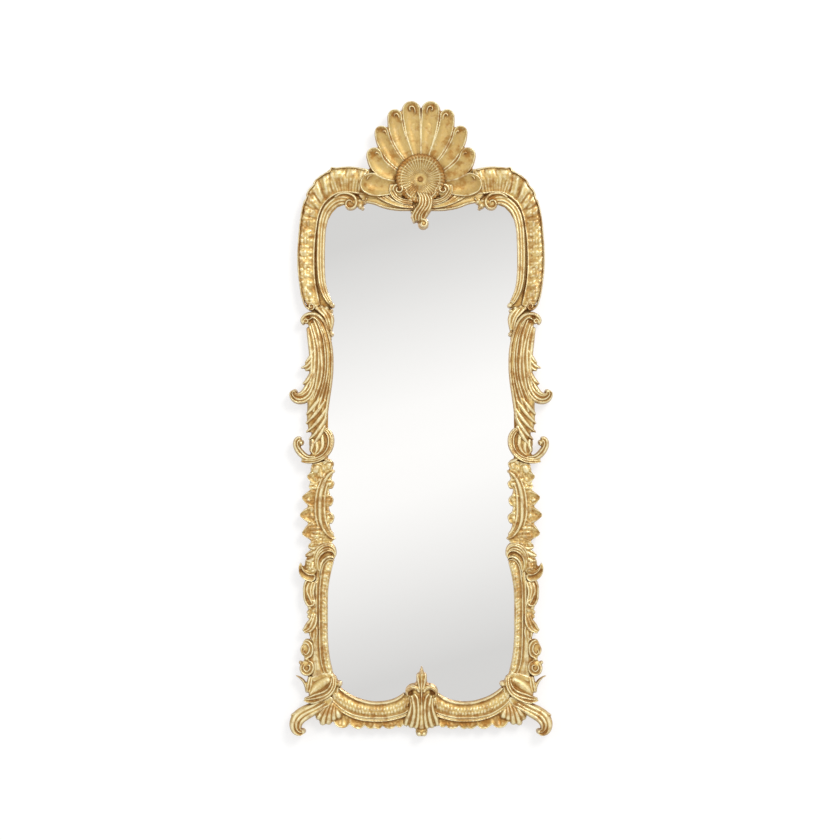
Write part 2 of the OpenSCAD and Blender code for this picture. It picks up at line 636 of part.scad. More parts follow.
module crest_apron() {
    carving() difference() {
        both_sides() stroke(apron_edge, moulding_h);
        room_for(pendant);
        both_sides() {
            room_for(crest_volute);
            room_for(upper_curls);
            for (k = upper_knobs) room_for_boss(k[0], k[1], k[2]);
        }
    }
}

module crest_pendant() { carving() strokes(pendant, leaf_h); }

// Shoulders.
module shoulder_rim_shape() {
    difference() {
        strokes(shoulder_rim, rim_h);
        room_for([side_lobe, lobe_4]);
    }
}
module right_shoulder_rim() { carving() shoulder_rim_shape(); }
module left_shoulder_rim() { left_carving() shoulder_rim_shape(); }

module shoulder_frill_shape() {
    difference() {
        ruffle(shoulder_frill, frill_h, 5, 2.5, 0.3);
        room_for(shoulder_rim);
        room_for([side_lobe, lobe_4, apron_edge, upper_moulding]);
        room_for(upper_curls);
        for (k = upper_knobs) room_for_boss(k[0], k[1], k[2]);
        room_for(neck_leaf);
    }
}
module right_shoulder_frill() { carving() shoulder_frill_shape(); }
module left_shoulder_frill() { left_carving() shoulder_frill_shape(); }

module upper_moulding_shape() {
    difference() {
        union() {
            moulding(upper_moulding, reeded_section, moulding_h);
            strokes(upper_curls, moulding_h);
            for (k = upper_knobs) boss(k[0], k[1], k[2], moulding_h * 1.2, 12);
        }
        room_for([side_lobe]);
    }
}
module right_upper_moulding() { carving() upper_moulding_shape(); }
module left_upper_moulding() { left_carving() upper_moulding_shape(); }

module neck_leaf_shape() {
    difference() {
        strokes(neck_leaf, leaf_h * 0.7);
        room_for([upper_moulding]);
        room_for(upper_curls);
        room_for(bracket);
        room_for(shoulder_rim);
    }
}
module right_neck_leaf() { carving() neck_leaf_shape(); }
module left_neck_leaf() { left_carving() neck_leaf_shape(); }

// Sides.
module bracket_shape() {
    difference() {
        strokes(bracket, leaf_h);
        room_for(ear_scroll);
        room_for(shoulder_rim);
    }
}
module right_bracket() { carving() bracket_shape(); }
module left_bracket() { left_carving() bracket_shape(); }

module bracket_leaf_shape() {
    difference() {
        strokes(bracket_leaf, leaf_h);
        room_for(bracket);
    }
}
module right_bracket_leaf() { carving() bracket_leaf_shape(); }
module left_bracket_leaf() { left_carving() bracket_leaf_shape(); }

module right_ear_scroll() { carving() strokes(ear_scroll, leaf_h); }
module left_ear_scroll() { left_carving() strokes(ear_scroll, leaf_h); }

module rocaille_shape() {
    difference() {
        union() {
            stroke(rocaille_field, panel_h);
            stroke(rocaille_stem, panel_h);
        }
        room_for(ear_scroll);
        room_for(knee_leaf);
    }
}
module right_rocaille_panel() { carving() rocaille_shape(); }
module left_rocaille_panel() { left_carving() rocaille_shape(); }

module right_knee_leaf() { carving() strokes(knee_leaf, leaf_h); }
module left_knee_leaf() { left_carving() strokes(knee_leaf, leaf_h); }

module lower_moulding_shape() {
    difference() {
        moulding(lower_moulding, panel_section, moulding_h);
        room_for(knee_leaf);
        room_for(corner_leaf);
        room_for_boss(corner_bead[0], corner_bead[1], corner_bead[2]);
    }
}
module right_lower_moulding() { carving() lower_moulding_shape(); }
module left_lower_moulding() { left_carving() lower_moulding_shape(); }

module garland_shape() {
    difference() {
        strokes(garland, moulding_h);
        room_for([lower_moulding]);
        room_for(knee_leaf);
        room_for(corner_leaf);
        for (r = roses) room_for_boss(r[0], r[1], r[2]);
    }
}
module right_side_garland() { carving() garland_shape(); }
module left_side_garland() { left_carving() garland_shape(); }

petals = 5;
module rose(x, z, r) {
    for (i = [0:petals - 1]) translate([x, z, front]) rotate([0, 0, i * 360 / petals]) hull() {
        translate([r * 0.53, 0, 0]) cylinder(r = r * 0.47, h = rose_h * 0.5, $fn = 9);
        translate([r * 0.48, 0, 0]) cylinder(r = r * 0.26, h = rose_h * 0.76, $fn = 7);
    }
    boss(x, z, r * 0.41, rose_h, 12);
}
module right_roses() { carving() for (r = roses) rose(r[0], r[1], r[2]); }
module left_roses() { left_carving() for (r = roses) rose(r[0], r[1], r[2]); }

// Corners and base.
module corner_shape() {
    strokes(corner_leaf, leaf_h);
    boss(corner_bead[0], corner_bead[1], corner_bead[2], leaf_h * 0.7, 14);
}
module right_corner_leaf() { carving() corner_shape(); }
module left_corner_leaf() { left_carving() corner_shape(); }

module foot_shape() {
    difference() {
        strokes(foot_scroll, leaf_h);
        room_for(corner_leaf);
    }
}
module right_foot_scroll() { carving() foot_shape(); }
module left_foot_scroll() { left_carving() foot_shape(); }

module base_moulding_shape() {
    difference() {
        moulding(base_moulding, base_section, moulding_h);
        room_for(corner_leaf);
        room_for(foot_scroll);
        room_for_boss(corner_bead[0], corner_bead[1], corner_bead[2]);
        palmette_room();
    }
}
module right_base_moulding() { carving() base_moulding_shape(); }
module left_base_moulding() { left_carving() base_moulding_shape(); }

module base_frill_shape() {
    difference() {
        union() {
            ruffle(base_hem, moulding_h, 2, 3, 0.25);
            strokes(corner_fan, moulding_h);
        }
        room_for([base_moulding]);
        room_for(corner_leaf);
        room_for(foot_scroll);
        palmette_room();
    }
}
module right_base_frill() { carving() base_frill_shape(); }
module left_base_frill() { left_carving() base_frill_shape(); }

module palmette_room() {
    both_sides() room_for(palmette_side);
    room_for([palmette_stem]);
}

module base_palmette() {
    carving() {
        both_sides() strokes(palmette_side, leaf_h);
        stroke(palmette_stem, leaf_h);
    }
}

top_rail();
bottom_rail();
left_stile();
right_stile();
lap_dowels();
mirror_plate();
rebate_felt();
setting_blocks();
glass_fillets();
backing_board();
back_screws();
wall_pads();
hanger_straps();
left_hanger_ring();
right_hanger_ring();
shell_fan();
shell_rosette();
crest_apron();
crest_pendant();
left_side_lobe();
right_side_lobe();
left_crest_volute();
right_crest_volute();
left_crest_leaf();
right_crest_leaf();
left_shoulder_rim();
right_shoulder_rim();
left_shoulder_frill();
right_shoulder_frill();
left_upper_moulding();
right_upper_moulding();
left_neck_leaf();
right_neck_leaf();
left_bracket();
right_bracket();
left_bracket_leaf();
right_bracket_leaf();
left_ear_scroll();
right_ear_scroll();
left_rocaille_panel();
right_rocaille_panel();
left_knee_leaf();
right_knee_leaf();
left_lower_moulding();
right_lower_moulding();
left_side_garland();
right_side_garland();
left_roses();
right_roses();
left_corner_leaf();
right_corner_leaf();
left_foot_scroll();
right_foot_scroll();
left_base_moulding();
right_base_moulding();
left_base_frill();
right_base_frill();
base_palmette();
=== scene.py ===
import math

import bpy
import mathutils
import numpy as np
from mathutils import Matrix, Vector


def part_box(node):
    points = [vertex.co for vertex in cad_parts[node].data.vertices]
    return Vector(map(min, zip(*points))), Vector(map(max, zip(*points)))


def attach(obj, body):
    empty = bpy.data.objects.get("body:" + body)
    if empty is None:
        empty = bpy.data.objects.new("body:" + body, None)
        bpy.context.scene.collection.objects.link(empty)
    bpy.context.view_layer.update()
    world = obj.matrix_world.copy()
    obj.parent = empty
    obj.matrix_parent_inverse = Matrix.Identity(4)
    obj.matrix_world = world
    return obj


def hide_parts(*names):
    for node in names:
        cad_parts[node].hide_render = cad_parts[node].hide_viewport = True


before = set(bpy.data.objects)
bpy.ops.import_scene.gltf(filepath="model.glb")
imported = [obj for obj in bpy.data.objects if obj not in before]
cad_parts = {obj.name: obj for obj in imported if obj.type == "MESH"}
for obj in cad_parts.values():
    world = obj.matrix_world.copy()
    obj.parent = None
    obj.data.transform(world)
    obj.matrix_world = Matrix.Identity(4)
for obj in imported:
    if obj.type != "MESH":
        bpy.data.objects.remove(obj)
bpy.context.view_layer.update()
print("frame loaded with " + str(len(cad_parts)) + " nodes")

# The carvings are laid out on a squared drawing of the front, as a carver would do it.
# A point is x squares from its left edge and y squares down; heights above the timber are in millimetres.
drawing = {
    "square": 0.003,         # one square, in metres
    "centreLine": 421.0,     # x of the middle of the mirror
    "groundLine": 715.0,     # y of the origin's height
    "timberFace": -0.027,    # where the back of every carving is glued, in metres
}
bench = {
    "voxel": 0.0015,   # the finest grain of the carved gesso
    "gougeStep": 0.6,        # squares between two cuts along a stroke
    "crossStep": 0.55,       # squares between two points across it
    "discStep": 0.3,         # squares between two points of a small round lump
    "thinnest": 0.5,         # no relief is thinner than this, in millimetres
    "narrowest": 0.3,        # no stroke is narrower than this on each side, in squares
    "fullness": 1.25,        # how much wider a rounded stroke is cut than drawn, so that neighbours touch
    "handShake": 0.0005,     # how unevenly a hand cuts, in metres
    "handWander": 0.016,     # and over what length
    "sandings": 2,
    "sandingForce": 0.5,
}


def toMetres(x, y, height):
    return np.stack([(x - drawing["centreLine"]) * drawing["square"],
                     drawing["timberFace"] - height * 0.001,
                     (drawing["groundLine"] - y) * drawing["square"]], -1)


def freshClay():
    return {"spots": [], "faces": [], "count": 0, "tops": []}


def numbered(clay, shape):
    # The numbers that the next grid of points gets.
    return clay["count"] + np.arange(math.prod(shape)).reshape(shape)


def gridQuads(number):
    return np.stack([number[:-1, :-1], number[1:, :-1], number[1:, 1:], number[:-1, 1:]], -1)


def addLump(clay, x, y, height, foot, quads, walls):
    # Adds a top and the foot below it, the faces of both and the walls between them.
    for level in (height, foot):
        clay["spots"].append(toMetres(x, y, level).reshape(-1, 3))
    clay["faces"].append(np.concatenate([quads, quads[:, ::-1] + x.size, *walls]))
    clay["count"] += 2 * x.size


def block(clay, x, y, height, foot):
    # A closed lump: a grid of heights on top, its foot below and a wall round both.
    foot = np.broadcast_to(foot, x.shape)
    number = numbered(clay, x.shape)
    rim = np.concatenate([number[0, :], number[1:, -1], number[-1, -2::-1], number[-2:0:-1, 0]])
    after = np.roll(rim, -1)
    wall = np.stack([rim, after, after + x.size, rim + x.size], -1)
    height = np.maximum(height, foot + bench["thinnest"])
    clay["tops"].append(np.stack([x, y, height], -1).reshape(-1, 3))
    addLump(clay, x, y, height, foot, gridQuads(number).reshape(-1, 4), [wall])


def ringSolid(clay, x, y, height):
    # A closed ring: rows run outwards, columns run round and meet themselves.
    number = numbered(clay, x.shape)
    turned = np.roll(number, -1, axis=1)
    quads = np.stack([number[:-1], number[1:], turned[1:], turned[:-1]], -1).reshape(-1, 4)
    walls = [np.stack([number[k], turned[k], turned[k] + x.size, number[k] + x.size], -1) for k in (0, -1)]
    walls[0] = walls[0][:, ::-1]
    addLump(clay, x, y, height, 0 * height, quads, walls)


def fullRows(rows, half, top, foot):
    # Each row is x, y and, where it differs from the stroke's own, half width, top and foot.
    table = np.zeros((len(rows), 5))
    share = np.linspace(0, 1, len(rows))
    for column, given in ((2, half), (3, top), (4, foot)):
        given = np.atleast_1d(given)
        table[:, column] = np.interp(share, np.linspace(0, 1, len(given)), given)
    for number, row in enumerate(rows):
        table[number, :len(row)] = row
    return table


def curveThrough(rows, step):
    # A smooth curve through every row, in all its columns at once.
    gaps = np.maximum(np.hypot(*np.diff(rows[:, :2], axis=0).T), 1e-6)
    at = np.concatenate([[0], np.cumsum(gaps)])
    slope = np.diff(rows, axis=0) / gaps[:, None]
    lean = np.concatenate([slope[:1], slope])
    lean[1:-1] = (slope[:-1] * gaps[1:, None] + slope[1:] * gaps[:-1, None]) / (gaps[1:] + gaps[:-1])[:, None]
    along = np.linspace(0, at[-1], max(4, int(at[-1] / step) + 2))
    span = np.clip(np.searchsorted(at, along, side="right") - 1, 0, len(gaps) - 1)
    t = ((along - at[span]) / gaps[span])[:, None]
    reach = gaps[span][:, None]
    path = ((2 * t**3 - 3 * t**2 + 1) * rows[span] + (t**3 - 2 * t**2 + t) * reach * lean[span]
            + (3 * t**2 - 2 * t**3) * rows[span + 1] + (t**3 - t**2) * reach * lean[span + 1])
    return path, along


# Profiles across a stroke: u runs from -1 to 1 across it, edge is 0 in the middle and 1 at the outline.
def rounded(u, edge):
    return np.sqrt(np.maximum(1 - edge**2, 0))


def flat(u, edge):
    return 1 - edge**8


def ridged(u, edge):
    return (1 - edge) * (0.75 + 0.25 * edge)


def scooped(u, edge):
    rim = 0.87
    inside = 0.72 + 0.28 * np.minimum(edge / rim, 1)**2.2
    outside = 1 - (np.maximum(edge - rim, 0) / (1 - rim))**2
    return inside * outside


def reeded(count, depth=0.4):
    def profile(u, edge):
        share = (u + 1) * count / 2
        reed = np.sqrt(1 - 0.96 * (2 * (share - np.floor(share)) - 1)**2)
        return (1 - depth + depth * reed) * (1 - edge**5)
    return profile


def carve(clay, rows, half=2.0, top=20.0, foot=0.0, profile=rounded, ends="oo", wave=None, outline=None):
    # One stroke of relief along rows; an end marked o is rounded off, one marked | is cut square.
    path, along = curveThrough(fullRows(rows, half, top, foot), bench["gougeStep"])
    run = np.gradient(path[:, :2], axis=0)
    run = run / np.maximum(np.hypot(run[:, 0], run[:, 1]), 1e-9)[:, None]
    width = np.maximum(path[:, 2] * (bench["fullness"] if profile is rounded else 1), bench["narrowest"])
    # A rounded end narrows the stroke as the end of a circle does.
    near = np.zeros(len(along))
    for mark, toEnd, atEnd in ((ends[0], along, width[0]), (ends[1], along[-1] - along, width[-1])):
        if mark == "o":
            near = np.maximum(near, 1 - toEnd / max(atEnd, 0.5))
    near = np.clip(near, 0, 0.995)[:, None]
    u = np.linspace(-1, 1, int(np.clip(2 * width.max() / bench["crossStep"], 8, 60)))[None, :]
    edge = np.sqrt(u**2 * (1 - near**2) + near**2)
    spread = u * width[:, None] * np.sqrt(1 - near**2)
    if outline is not None:
        spread = spread * (1 + outline(along[:, None], u))
    x = path[:, :1] - run[:, 1:] * spread
    y = path[:, 1:2] + run[:, :1] * spread
    height = path[:, 4:] + (path[:, 3:4] - path[:, 4:]) * profile(u, edge)
    if wave is not None:
        height = height + wave(along[:, None], u, x, y) * (1 - edge**6)
    block(clay, x, y, height, path[:, 4:])


def carveAll(clay, strokes, **settings):
    for rows in strokes:
        carve(clay, rows, **settings)


def bundle(clay, edges, count, top=20.0, seed=1, taper=(1.0, 0.7), foot=0.0, profile=rounded):
    # Strands side by side between two lines; each runs and rises a little in its own way.
    chance = np.random.default_rng(seed)
    stations = 11
    share = np.linspace(0, 1, stations)
    lines = []
    for rows in edges:
        path, along = curveThrough(fullRows(rows, 1, top, foot), bench["gougeStep"])
        lines.append(np.stack([np.interp(share * along[-1], along, path[:, k]) for k in range(5)], -1))
    first, second = lines
    half = np.hypot(*(first - second)[:, :2].T) / count / 2
    half = half * np.interp(share, (0, 0.25, 0.75, 1), (taper[0], 1, 1, taper[1]))
    for number in range(count):
        sway = 0.16 * np.sin(share * chance.uniform(4, 9) + chance.uniform(0, 6))
        place = ((number + 0.5 + sway) / count)[:, None]
        rows = first * (1 - place) + second * place
        rows[:, 2] = half * chance.uniform(0.86, 1.1)
        rows[:, 3] = rows[:, 3] * chance.uniform(0.90, 1.04)
        carve(clay, rows, profile=profile)


def spiral(x, y, radius, turns, start, squash=1.0, way=1):
    # Rows that wind inwards from the angle start.
    steps = int(8 * turns) + 2
    rows = []
    for k in range(steps):
        share = k / (steps - 1)
        angle = start + way * 2 * math.pi * turns * share
        reach = radius * (0.82 - 0.66 * share)
        rows.append((x + reach * math.cos(angle), y + reach * squash * math.sin(angle)))
    return rows


def disc(clay, x, y, radius, height, foot=0.0, squash=1.0):
    # A round lump; height is a function of the distance from its middle, 0 to 1, and of the angle.
    count = int(np.clip(radius / bench["discStep"], 9, 110))
    u, v = np.meshgrid(np.linspace(-1, 1, count), np.linspace(-1, 1, count), indexing="ij")
    side = u * np.sqrt(1 - v**2 / 2)
    rise = v * np.sqrt(1 - u**2 / 2)
    edge = np.minimum(np.hypot(side, rise), 1)
    block(clay, x + radius * side, y + radius * squash * rise, height(edge, np.arctan2(rise, side)), foot)


def knob(clay, x, y, radius, top, foot=0.0, squash=1.0):
    disc(clay, x, y, radius, lambda edge, angle: foot + (top - foot) * np.sqrt(1 - edge**2), foot, squash)


def knobs(clay, spots):
    for spot in spots:
        knob(clay, *spot)


def volute(clay, x, y, radius, top, hole=0.45):
    # A rolled end seen from above: a raised ring round a pit with a small pip.
    def height(edge, angle):
        ring = np.exp(-((edge - 0.68) / 0.22)**2)
        pip = 0.75 * np.exp(-(edge / 0.2)**2)
        return top * (1 - hole + hole * np.maximum(ring, pip)) * (1 - edge**10)
    disc(clay, x, y, radius, height)


def panel(clay, edgeA, edgeB, height, fineness=0.6, foot=0.0):
    # A field between two outlines; height is a function of the shares along and across, and of x and y.
    pathA, alongA = curveThrough(fullRows(edgeA, 0, 0, 0), fineness)
    pathB, alongB = curveThrough(fullRows(edgeB, 0, 0, 0), fineness)
    count = max(len(alongA), len(alongB))
    share = np.linspace(0, 1, count)
    first = np.stack([np.interp(share, alongA / alongA[-1], pathA[:, k]) for k in (0, 1)], -1)
    second = np.stack([np.interp(share, alongB / alongB[-1], pathB[:, k]) for k in (0, 1)], -1)
    columns = int(np.clip(np.hypot(*(first - second).T).max() / fineness, 4, 90))
    across = np.linspace(0, 1, columns)[None, :]
    x = first[:, :1] * (1 - across) + second[:, :1] * across
    y = first[:, 1:] * (1 - across) + second[:, 1:] * across
    block(clay, x, y, height(share[:, None], across, x, y), foot)


def folds(pitch, depth, seed, sharpness=0.5):
    # Uneven gathers: round backs with sharp valleys between them, each of its own width and height.
    chance = np.random.default_rng(seed)
    start, count = -20, 600
    valleys = np.concatenate([[start], start + np.cumsum(pitch * chance.uniform(0.6, 1.4, count))])
    fullness = chance.uniform(0.45, 1.0, count + 1)

    def height(run):
        number = np.clip(np.searchsorted(valleys, run) - 1, 0, len(valleys) - 2)
        share = (run - valleys[number]) / (valleys[number + 1] - valleys[number])
        return depth * fullness[number] * np.sin(np.pi * np.clip(share, 0, 1))**sharpness
    return height


def drapery(lines, depths):
    # Folds whose valleys lie at the given lines, each with its own depth.
    lines = np.array(lines, float)
    depths = np.array(depths, float)

    def height(run):
        number = np.clip(np.searchsorted(lines, run) - 1, 0, len(depths) - 1)
        share = (run - lines[number]) / (lines[number + 1] - lines[number])
        return depths[number] * np.sin(np.pi * np.clip(share, 0, 1))**0.7
    return height


def spreadOut(field, cells, pick):
    # Each cell takes the highest or lowest value within a round reach.
    result = field.copy()
    padded = np.pad(field, cells)
    rows, columns = field.shape
    for down in range(-cells, cells + 1):
        for right in range(-cells, cells + 1):
            if down**2 + right**2 <= (cells + 0.4)**2:
                moved = padded[cells + down:cells + down + rows, cells + right:cells + right + columns]
                result = pick(result, moved)
    return result


def layBed(clay, share=0.89, reach=1.5):
    # Fills the narrow gaps between strokes to a share of their height, so that each is parted by a groove.
    cell = 0.6
    tops = np.concatenate(clay["tops"])
    margin = 2 * reach + 3
    low = tops[:, :2].min(0) - margin
    size = np.ceil((tops[:, :2].max(0) + margin - low) / cell).astype(int) + 1
    at = np.round((tops[:, :2] - low) / cell).astype(int)
    field = np.zeros(size)
    np.maximum.at(field, (at[:, 0], at[:, 1]), tops[:, 2])
    for cells in (1, int(round(reach / cell))):
        field = spreadOut(spreadOut(field, cells, np.maximum), cells, np.minimum)
    lowest = 1.5             # in millimetres; what is lower stays open
    inside = spreadOut(field, 1, np.minimum) > lowest
    near = np.pad(field, 1, mode="edge")
    around = [(a, b) for a in (-1, 0, 1) for b in (-1, 0, 1)]
    smooth = sum(near[1 + a:1 + a + size[0], 1 + b:1 + b + size[1]] for a, b in around) / len(around)
    height = share * np.minimum(smooth, field)
    cells = inside[:-1, :-1] & inside[1:, :-1] & inside[1:, 1:] & inside[:-1, 1:]
    number = numbered(clay, size)
    total = number.size
    quads = gridQuads(number)
    walls = []
    for axis, first, second in ((0, (0, 3), (1, 2)), (1, (0, 1), (3, 2))):
        padded = np.pad(cells, 1)
        before = padded[:-2, 1:-1] if axis == 0 else padded[1:-1, :-2]
        after = padded[2:, 1:-1] if axis == 0 else padded[1:-1, 2:]
        for neighbour, (a, b) in ((before, first), (after, second)):
            edges = quads[cells & ~neighbour]
            walls.append(np.stack([edges[:, a], edges[:, b], edges[:, b] + total, edges[:, a] + total], -1))
    x, y = np.meshgrid(low[0] + np.arange(size[0]) * cell, low[1] + np.arange(size[1]) * cell, indexing="ij")
    addLump(clay, x, y, height, 0 * height, quads[cells], walls)


def smoothStep(value, low, high):
    share = np.clip((value - low) / (high - low), 0, 1)
    return share * share * (3 - 2 * share)


def crumple(x, y, size, depth, seed, layers=3):
    # Rounded lumps with sharp valleys between them, as in crushed cloth or weathered rock.
    total = np.zeros(np.broadcast(x, y).shape)
    cells = 97
    shift = (17.3, 5.1)      # keeps the layers from starting at one place
    for layer in range(layers):
        grid = np.random.default_rng(seed + layer).uniform(-1, 1, (cells, cells))
        across, down = x / size + shift[0] * layer, y / size + shift[1] * layer
        column, row = np.floor(across).astype(int), np.floor(down).astype(int)
        right = smoothStep(across - column, 0, 1)
        under = smoothStep(down - row, 0, 1)
        above, below, left, beside = row % cells, (row + 1) % cells, column % cells, (column + 1) % cells
        near = grid[above, left] * (1 - right) + grid[above, beside] * right
        far = grid[below, left] * (1 - right) + grid[below, beside] * right
        total = total + np.abs(near * (1 - under) + far * under) * depth
        size, depth = size / 2, depth / 2
    return total


# Materials
def linear(code):
    shares = [int(code[k:k + 2], 16) / 255 for k in (1, 3, 5)]
    return tuple(s / 12.92 if s <= 0.04045 else ((s + 0.055) / 1.055)**2.4 for s in shares) + (1.0,)


def addNode(tree, kind, settings=None, links=None, stops=None):
    # Settings named with a capital or a number are inputs; the others are the node's own.
    node = tree.nodes.new("ShaderNode" + kind)
    for key, value in (settings or {}).items():
        if isinstance(key, int) or key[0].isupper():
            node.inputs[key].default_value = value
        else:
            setattr(node, key, value)
    for key, source in (links or {}).items():
        tree.links.new(source, node.inputs[key])
    if stops:
        ramp = node.color_ramp
        while len(ramp.elements) < len(stops):
            ramp.elements.new(0.5)
        for element, (place, colour) in zip(ramp.elements, stops):
            element.position = place
            element.color = linear(colour)
    return node


def newMaterial(name, settings):
    material = bpy.data.materials.new(name)
    material.use_nodes = True
    tree = material.node_tree
    shader = tree.nodes["Principled BSDF"]
    for key, value in settings.items():
        shader.inputs[key].default_value = value
    return material, tree, shader


def join(tree, shader, sources):
    for key, source in sources.items():
        tree.links.new(source, shader.inputs[key])


def metresToScale(size):
    return 1.0 / size      # a noise cell of this size, in metres, on object coordinates


gildingLook = {
    "leaf": "#C7AC6C",
    # the pale of rubbed leaf, also a painted highlight on the ridges
    "rubbed": "#E2D5AA",
    # the brown of toning, also used as painted shade in hollows, cuts and on the sides
    "toned": "#A27330",
    "cut": "#8A5A24",
    "bole": "#6A3A16",
    "bareTimber": "#B08D62",
    "leafSize": 0.080,      # a leaf of gold is 80 mm square
    "mottle": 0.011,        # toning gathers in patches of about a finger's width, in metres
    "wash": 0.030,          # and has run in broader patches over the smooth places
    "grit": 0.0022,         # the grain of the gesso under the leaf
    "occlusion": 0.016,       # how far the occlusion looks for the walls of a deep place, in metres; it paints shade into the colour
    "ridge": (-0.02, -0.40),     # depth of a place left unrubbed and of one fully rubbed pale, in millimetres; the pale on ridges is wear and a painted highlight
    "hollow": (0.3, 2.6),        # depth of a clean hollow and of one full of toning and painted shade
    "gouged": (0.12, 0.62),      # depth of a clean cut and of one painted fully brown, with toning and painted shade
    "toningAndShade": 0.70,         # how much toning and painted shade the hollows get
    "sideToningAndShade": 0.6,      # the sides of the relief: toning where they were never rubbed, and painted shade along the outlines
    "washToning": 0.7,      # the broader patches
    "cutToningAndShade": 0.75,      # and the cuts, where the brown is toning and painted shade
    # bole colour in the most occluded places: bole showing through, and painted deep shade
    "boleAndShadeShown": 0.75,
    "metal": 0.62,          # toned leaf is less than full metal
    "bareMetal": 0.25,
    "burnish": 0.35,
    "matt": 0.52,
}


def makeGilding():
    # Water gilding: 22 carat leaf on red bole over gesso, burnished, rubbed and toned down.
    # The high places are painted pale, as rubbed wear and as a painted highlight; the hollows, cuts and sides
    # keep brown toning that also paints shade, and the most occluded places show bole colour as painted deep
    # shade.
    look = gildingLook
    material, tree, shader = newMaterial("waterGilding", {})
    place = addNode(tree, "TexCoord").outputs["Object"]
    crease = addNode(tree, "Attribute", {"attribute_name": "crease"}).outputs["Fac"]
    hollow = addNode(tree, "Attribute", {"attribute_name": "hollow"}).outputs["Fac"]
    patches = addNode(tree, "TexNoise",
                      {"Scale": metresToScale(look["mottle"]), "Detail": 5.0, "Roughness": 0.6},
                      {"Vector": place}).outputs["Fac"]
    leaves = addNode(tree, "TexNoise", {"Scale": metresToScale(look["leafSize"]), "Detail": 2.0},
                     {"Vector": place}).outputs["Fac"]
    # Occlusion by the nearby relief, used below to paint shade into the colour.
    occlusion = addNode(tree, "AmbientOcclusion", {"Distance": look["occlusion"], "samples": 4}).outputs["AO"]

    # Ridges and random patches are painted paler: rubbed wear, and a painted highlight on the high places.
    ridge = addNode(tree, "MapRange", {"From Min": look["ridge"][0], "From Max": look["ridge"][1]},
                    {"Value": crease}).outputs["Result"]
    patchPull = addNode(tree, "MapRange",
                        {"From Min": 0.35, "From Max": 0.68, "To Min": -0.35, "To Max": 0.38},
                        {"Value": patches}).outputs["Result"]
    wearAndHighlight = addNode(tree, "Math", {"operation": "ADD", "use_clamp": True},
                      {0: ridge, 1: patchPull}).outputs[0]
    gold = addNode(tree, "Mix", {"data_type": "RGBA", 6: linear(look["leaf"]), 7: linear(look["rubbed"])},
                   {"Factor": wearAndHighlight}).outputs[2]

    # The sides of the relief are browner than its face: toning left where they were never rubbed, and painted
    # shade along the outlines.
    facing = addNode(tree, "NewGeometry").outputs["Normal"]
    facingBack = addNode(tree, "SeparateXYZ", {}, {"Vector": facing}).outputs["Y"]
    sideToneAndShade = addNode(tree, "MapRange", {"From Min": -0.62, "From Max": -0.15, "To Max": look["sideToningAndShade"]},
                    {"Value": facingBack}).outputs["Result"]
    wash = addNode(tree, "TexNoise", {"Scale": metresToScale(look["wash"]), "Detail": 6.0, "Roughness": 0.62},
                   {"Vector": place}).outputs["Fac"]
    wash = addNode(tree, "MapRange", {"From Min": 0.50, "From Max": 0.62, "To Max": look["washToning"]},
                   {"Value": wash})
    unrubbedAndSideShade = addNode(tree, "Math", {"operation": "MAXIMUM"},
                       {0: sideToneAndShade, 1: wash.outputs["Result"]}).outputs[0]

    # Hollows and occluded places are painted brown: toning that gathers there, and painted shade.
    sunk = addNode(tree, "MapRange", {"From Min": look["hollow"][0], "From Max": look["hollow"][1]},
                   {"Value": hollow}).outputs["Result"]
    shaded = addNode(tree, "MapRange", {"From Min": 0.70, "From Max": 0.20},
                     {"Value": occlusion}).outputs["Result"]
    toningAndShade = addNode(tree, "Math", {"operation": "MULTIPLY_ADD", "use_clamp": True, 1: look["toningAndShade"]},
                     {0: sunk, 2: shaded}).outputs[0]
    uneven = addNode(tree, "MapRange", {"From Min": 0.3, "From Max": 0.75, "To Min": 0.55, "To Max": 1.0},
                     {"Value": leaves}).outputs["Result"]
    streaky = addNode(tree, "MapRange", {"From Min": 0.40, "From Max": 0.60, "To Min": 0.45, "To Max": 1.3},
                      {"Value": patches}).outputs["Result"]
    uneven = addNode(tree, "Math", {"operation": "MULTIPLY"}, {0: uneven, 1: streaky}).outputs[0]
    # Toning and painted shade, made uneven by the leaves and patches, together with the sides and broad
    # patches.
    toned = addNode(tree, "Math", {"operation": "MULTIPLY_ADD", "use_clamp": True},
                    {0: toningAndShade, 1: uneven, 2: unrubbedAndSideShade}).outputs[0]
    # Cuts are painted brown: toning, and painted shade in the grooves.
    gouged = {"From Min": look["gouged"][0], "From Max": look["gouged"][1], "To Max": look["cutToningAndShade"]}
    cut = addNode(tree, "MapRange", gouged, {"Value": crease}).outputs["Result"]
    # The most occluded places take the bole colour and less metal: bole showing through, and painted deep
    # shade.
    deepShade = addNode(tree, "MapRange", {"From Min": 0.42, "From Max": 0.10, "To Max": look["boleAndShadeShown"]},
                   {"Value": occlusion}).outputs["Result"]

    # The back of a carving is bare timber, up to a few millimetres from where it is glued to the frame.
    glued = drawing["timberFace"]
    depth = addNode(tree, "SeparateXYZ", {}, {"Vector": place}).outputs["Y"]
    isBack = addNode(tree, "MapRange", {"From Min": 0.6, "From Max": 0.8},
                     {"Value": facingBack}).outputs["Result"]
    atFace = addNode(tree, "MapRange", {"From Min": glued - 0.003, "From Max": glued - 0.0015},
                     {"Value": depth}).outputs["Result"]
    bare = addNode(tree, "Math", {"operation": "MULTIPLY"}, {0: isBack, 1: atFace}).outputs[0]
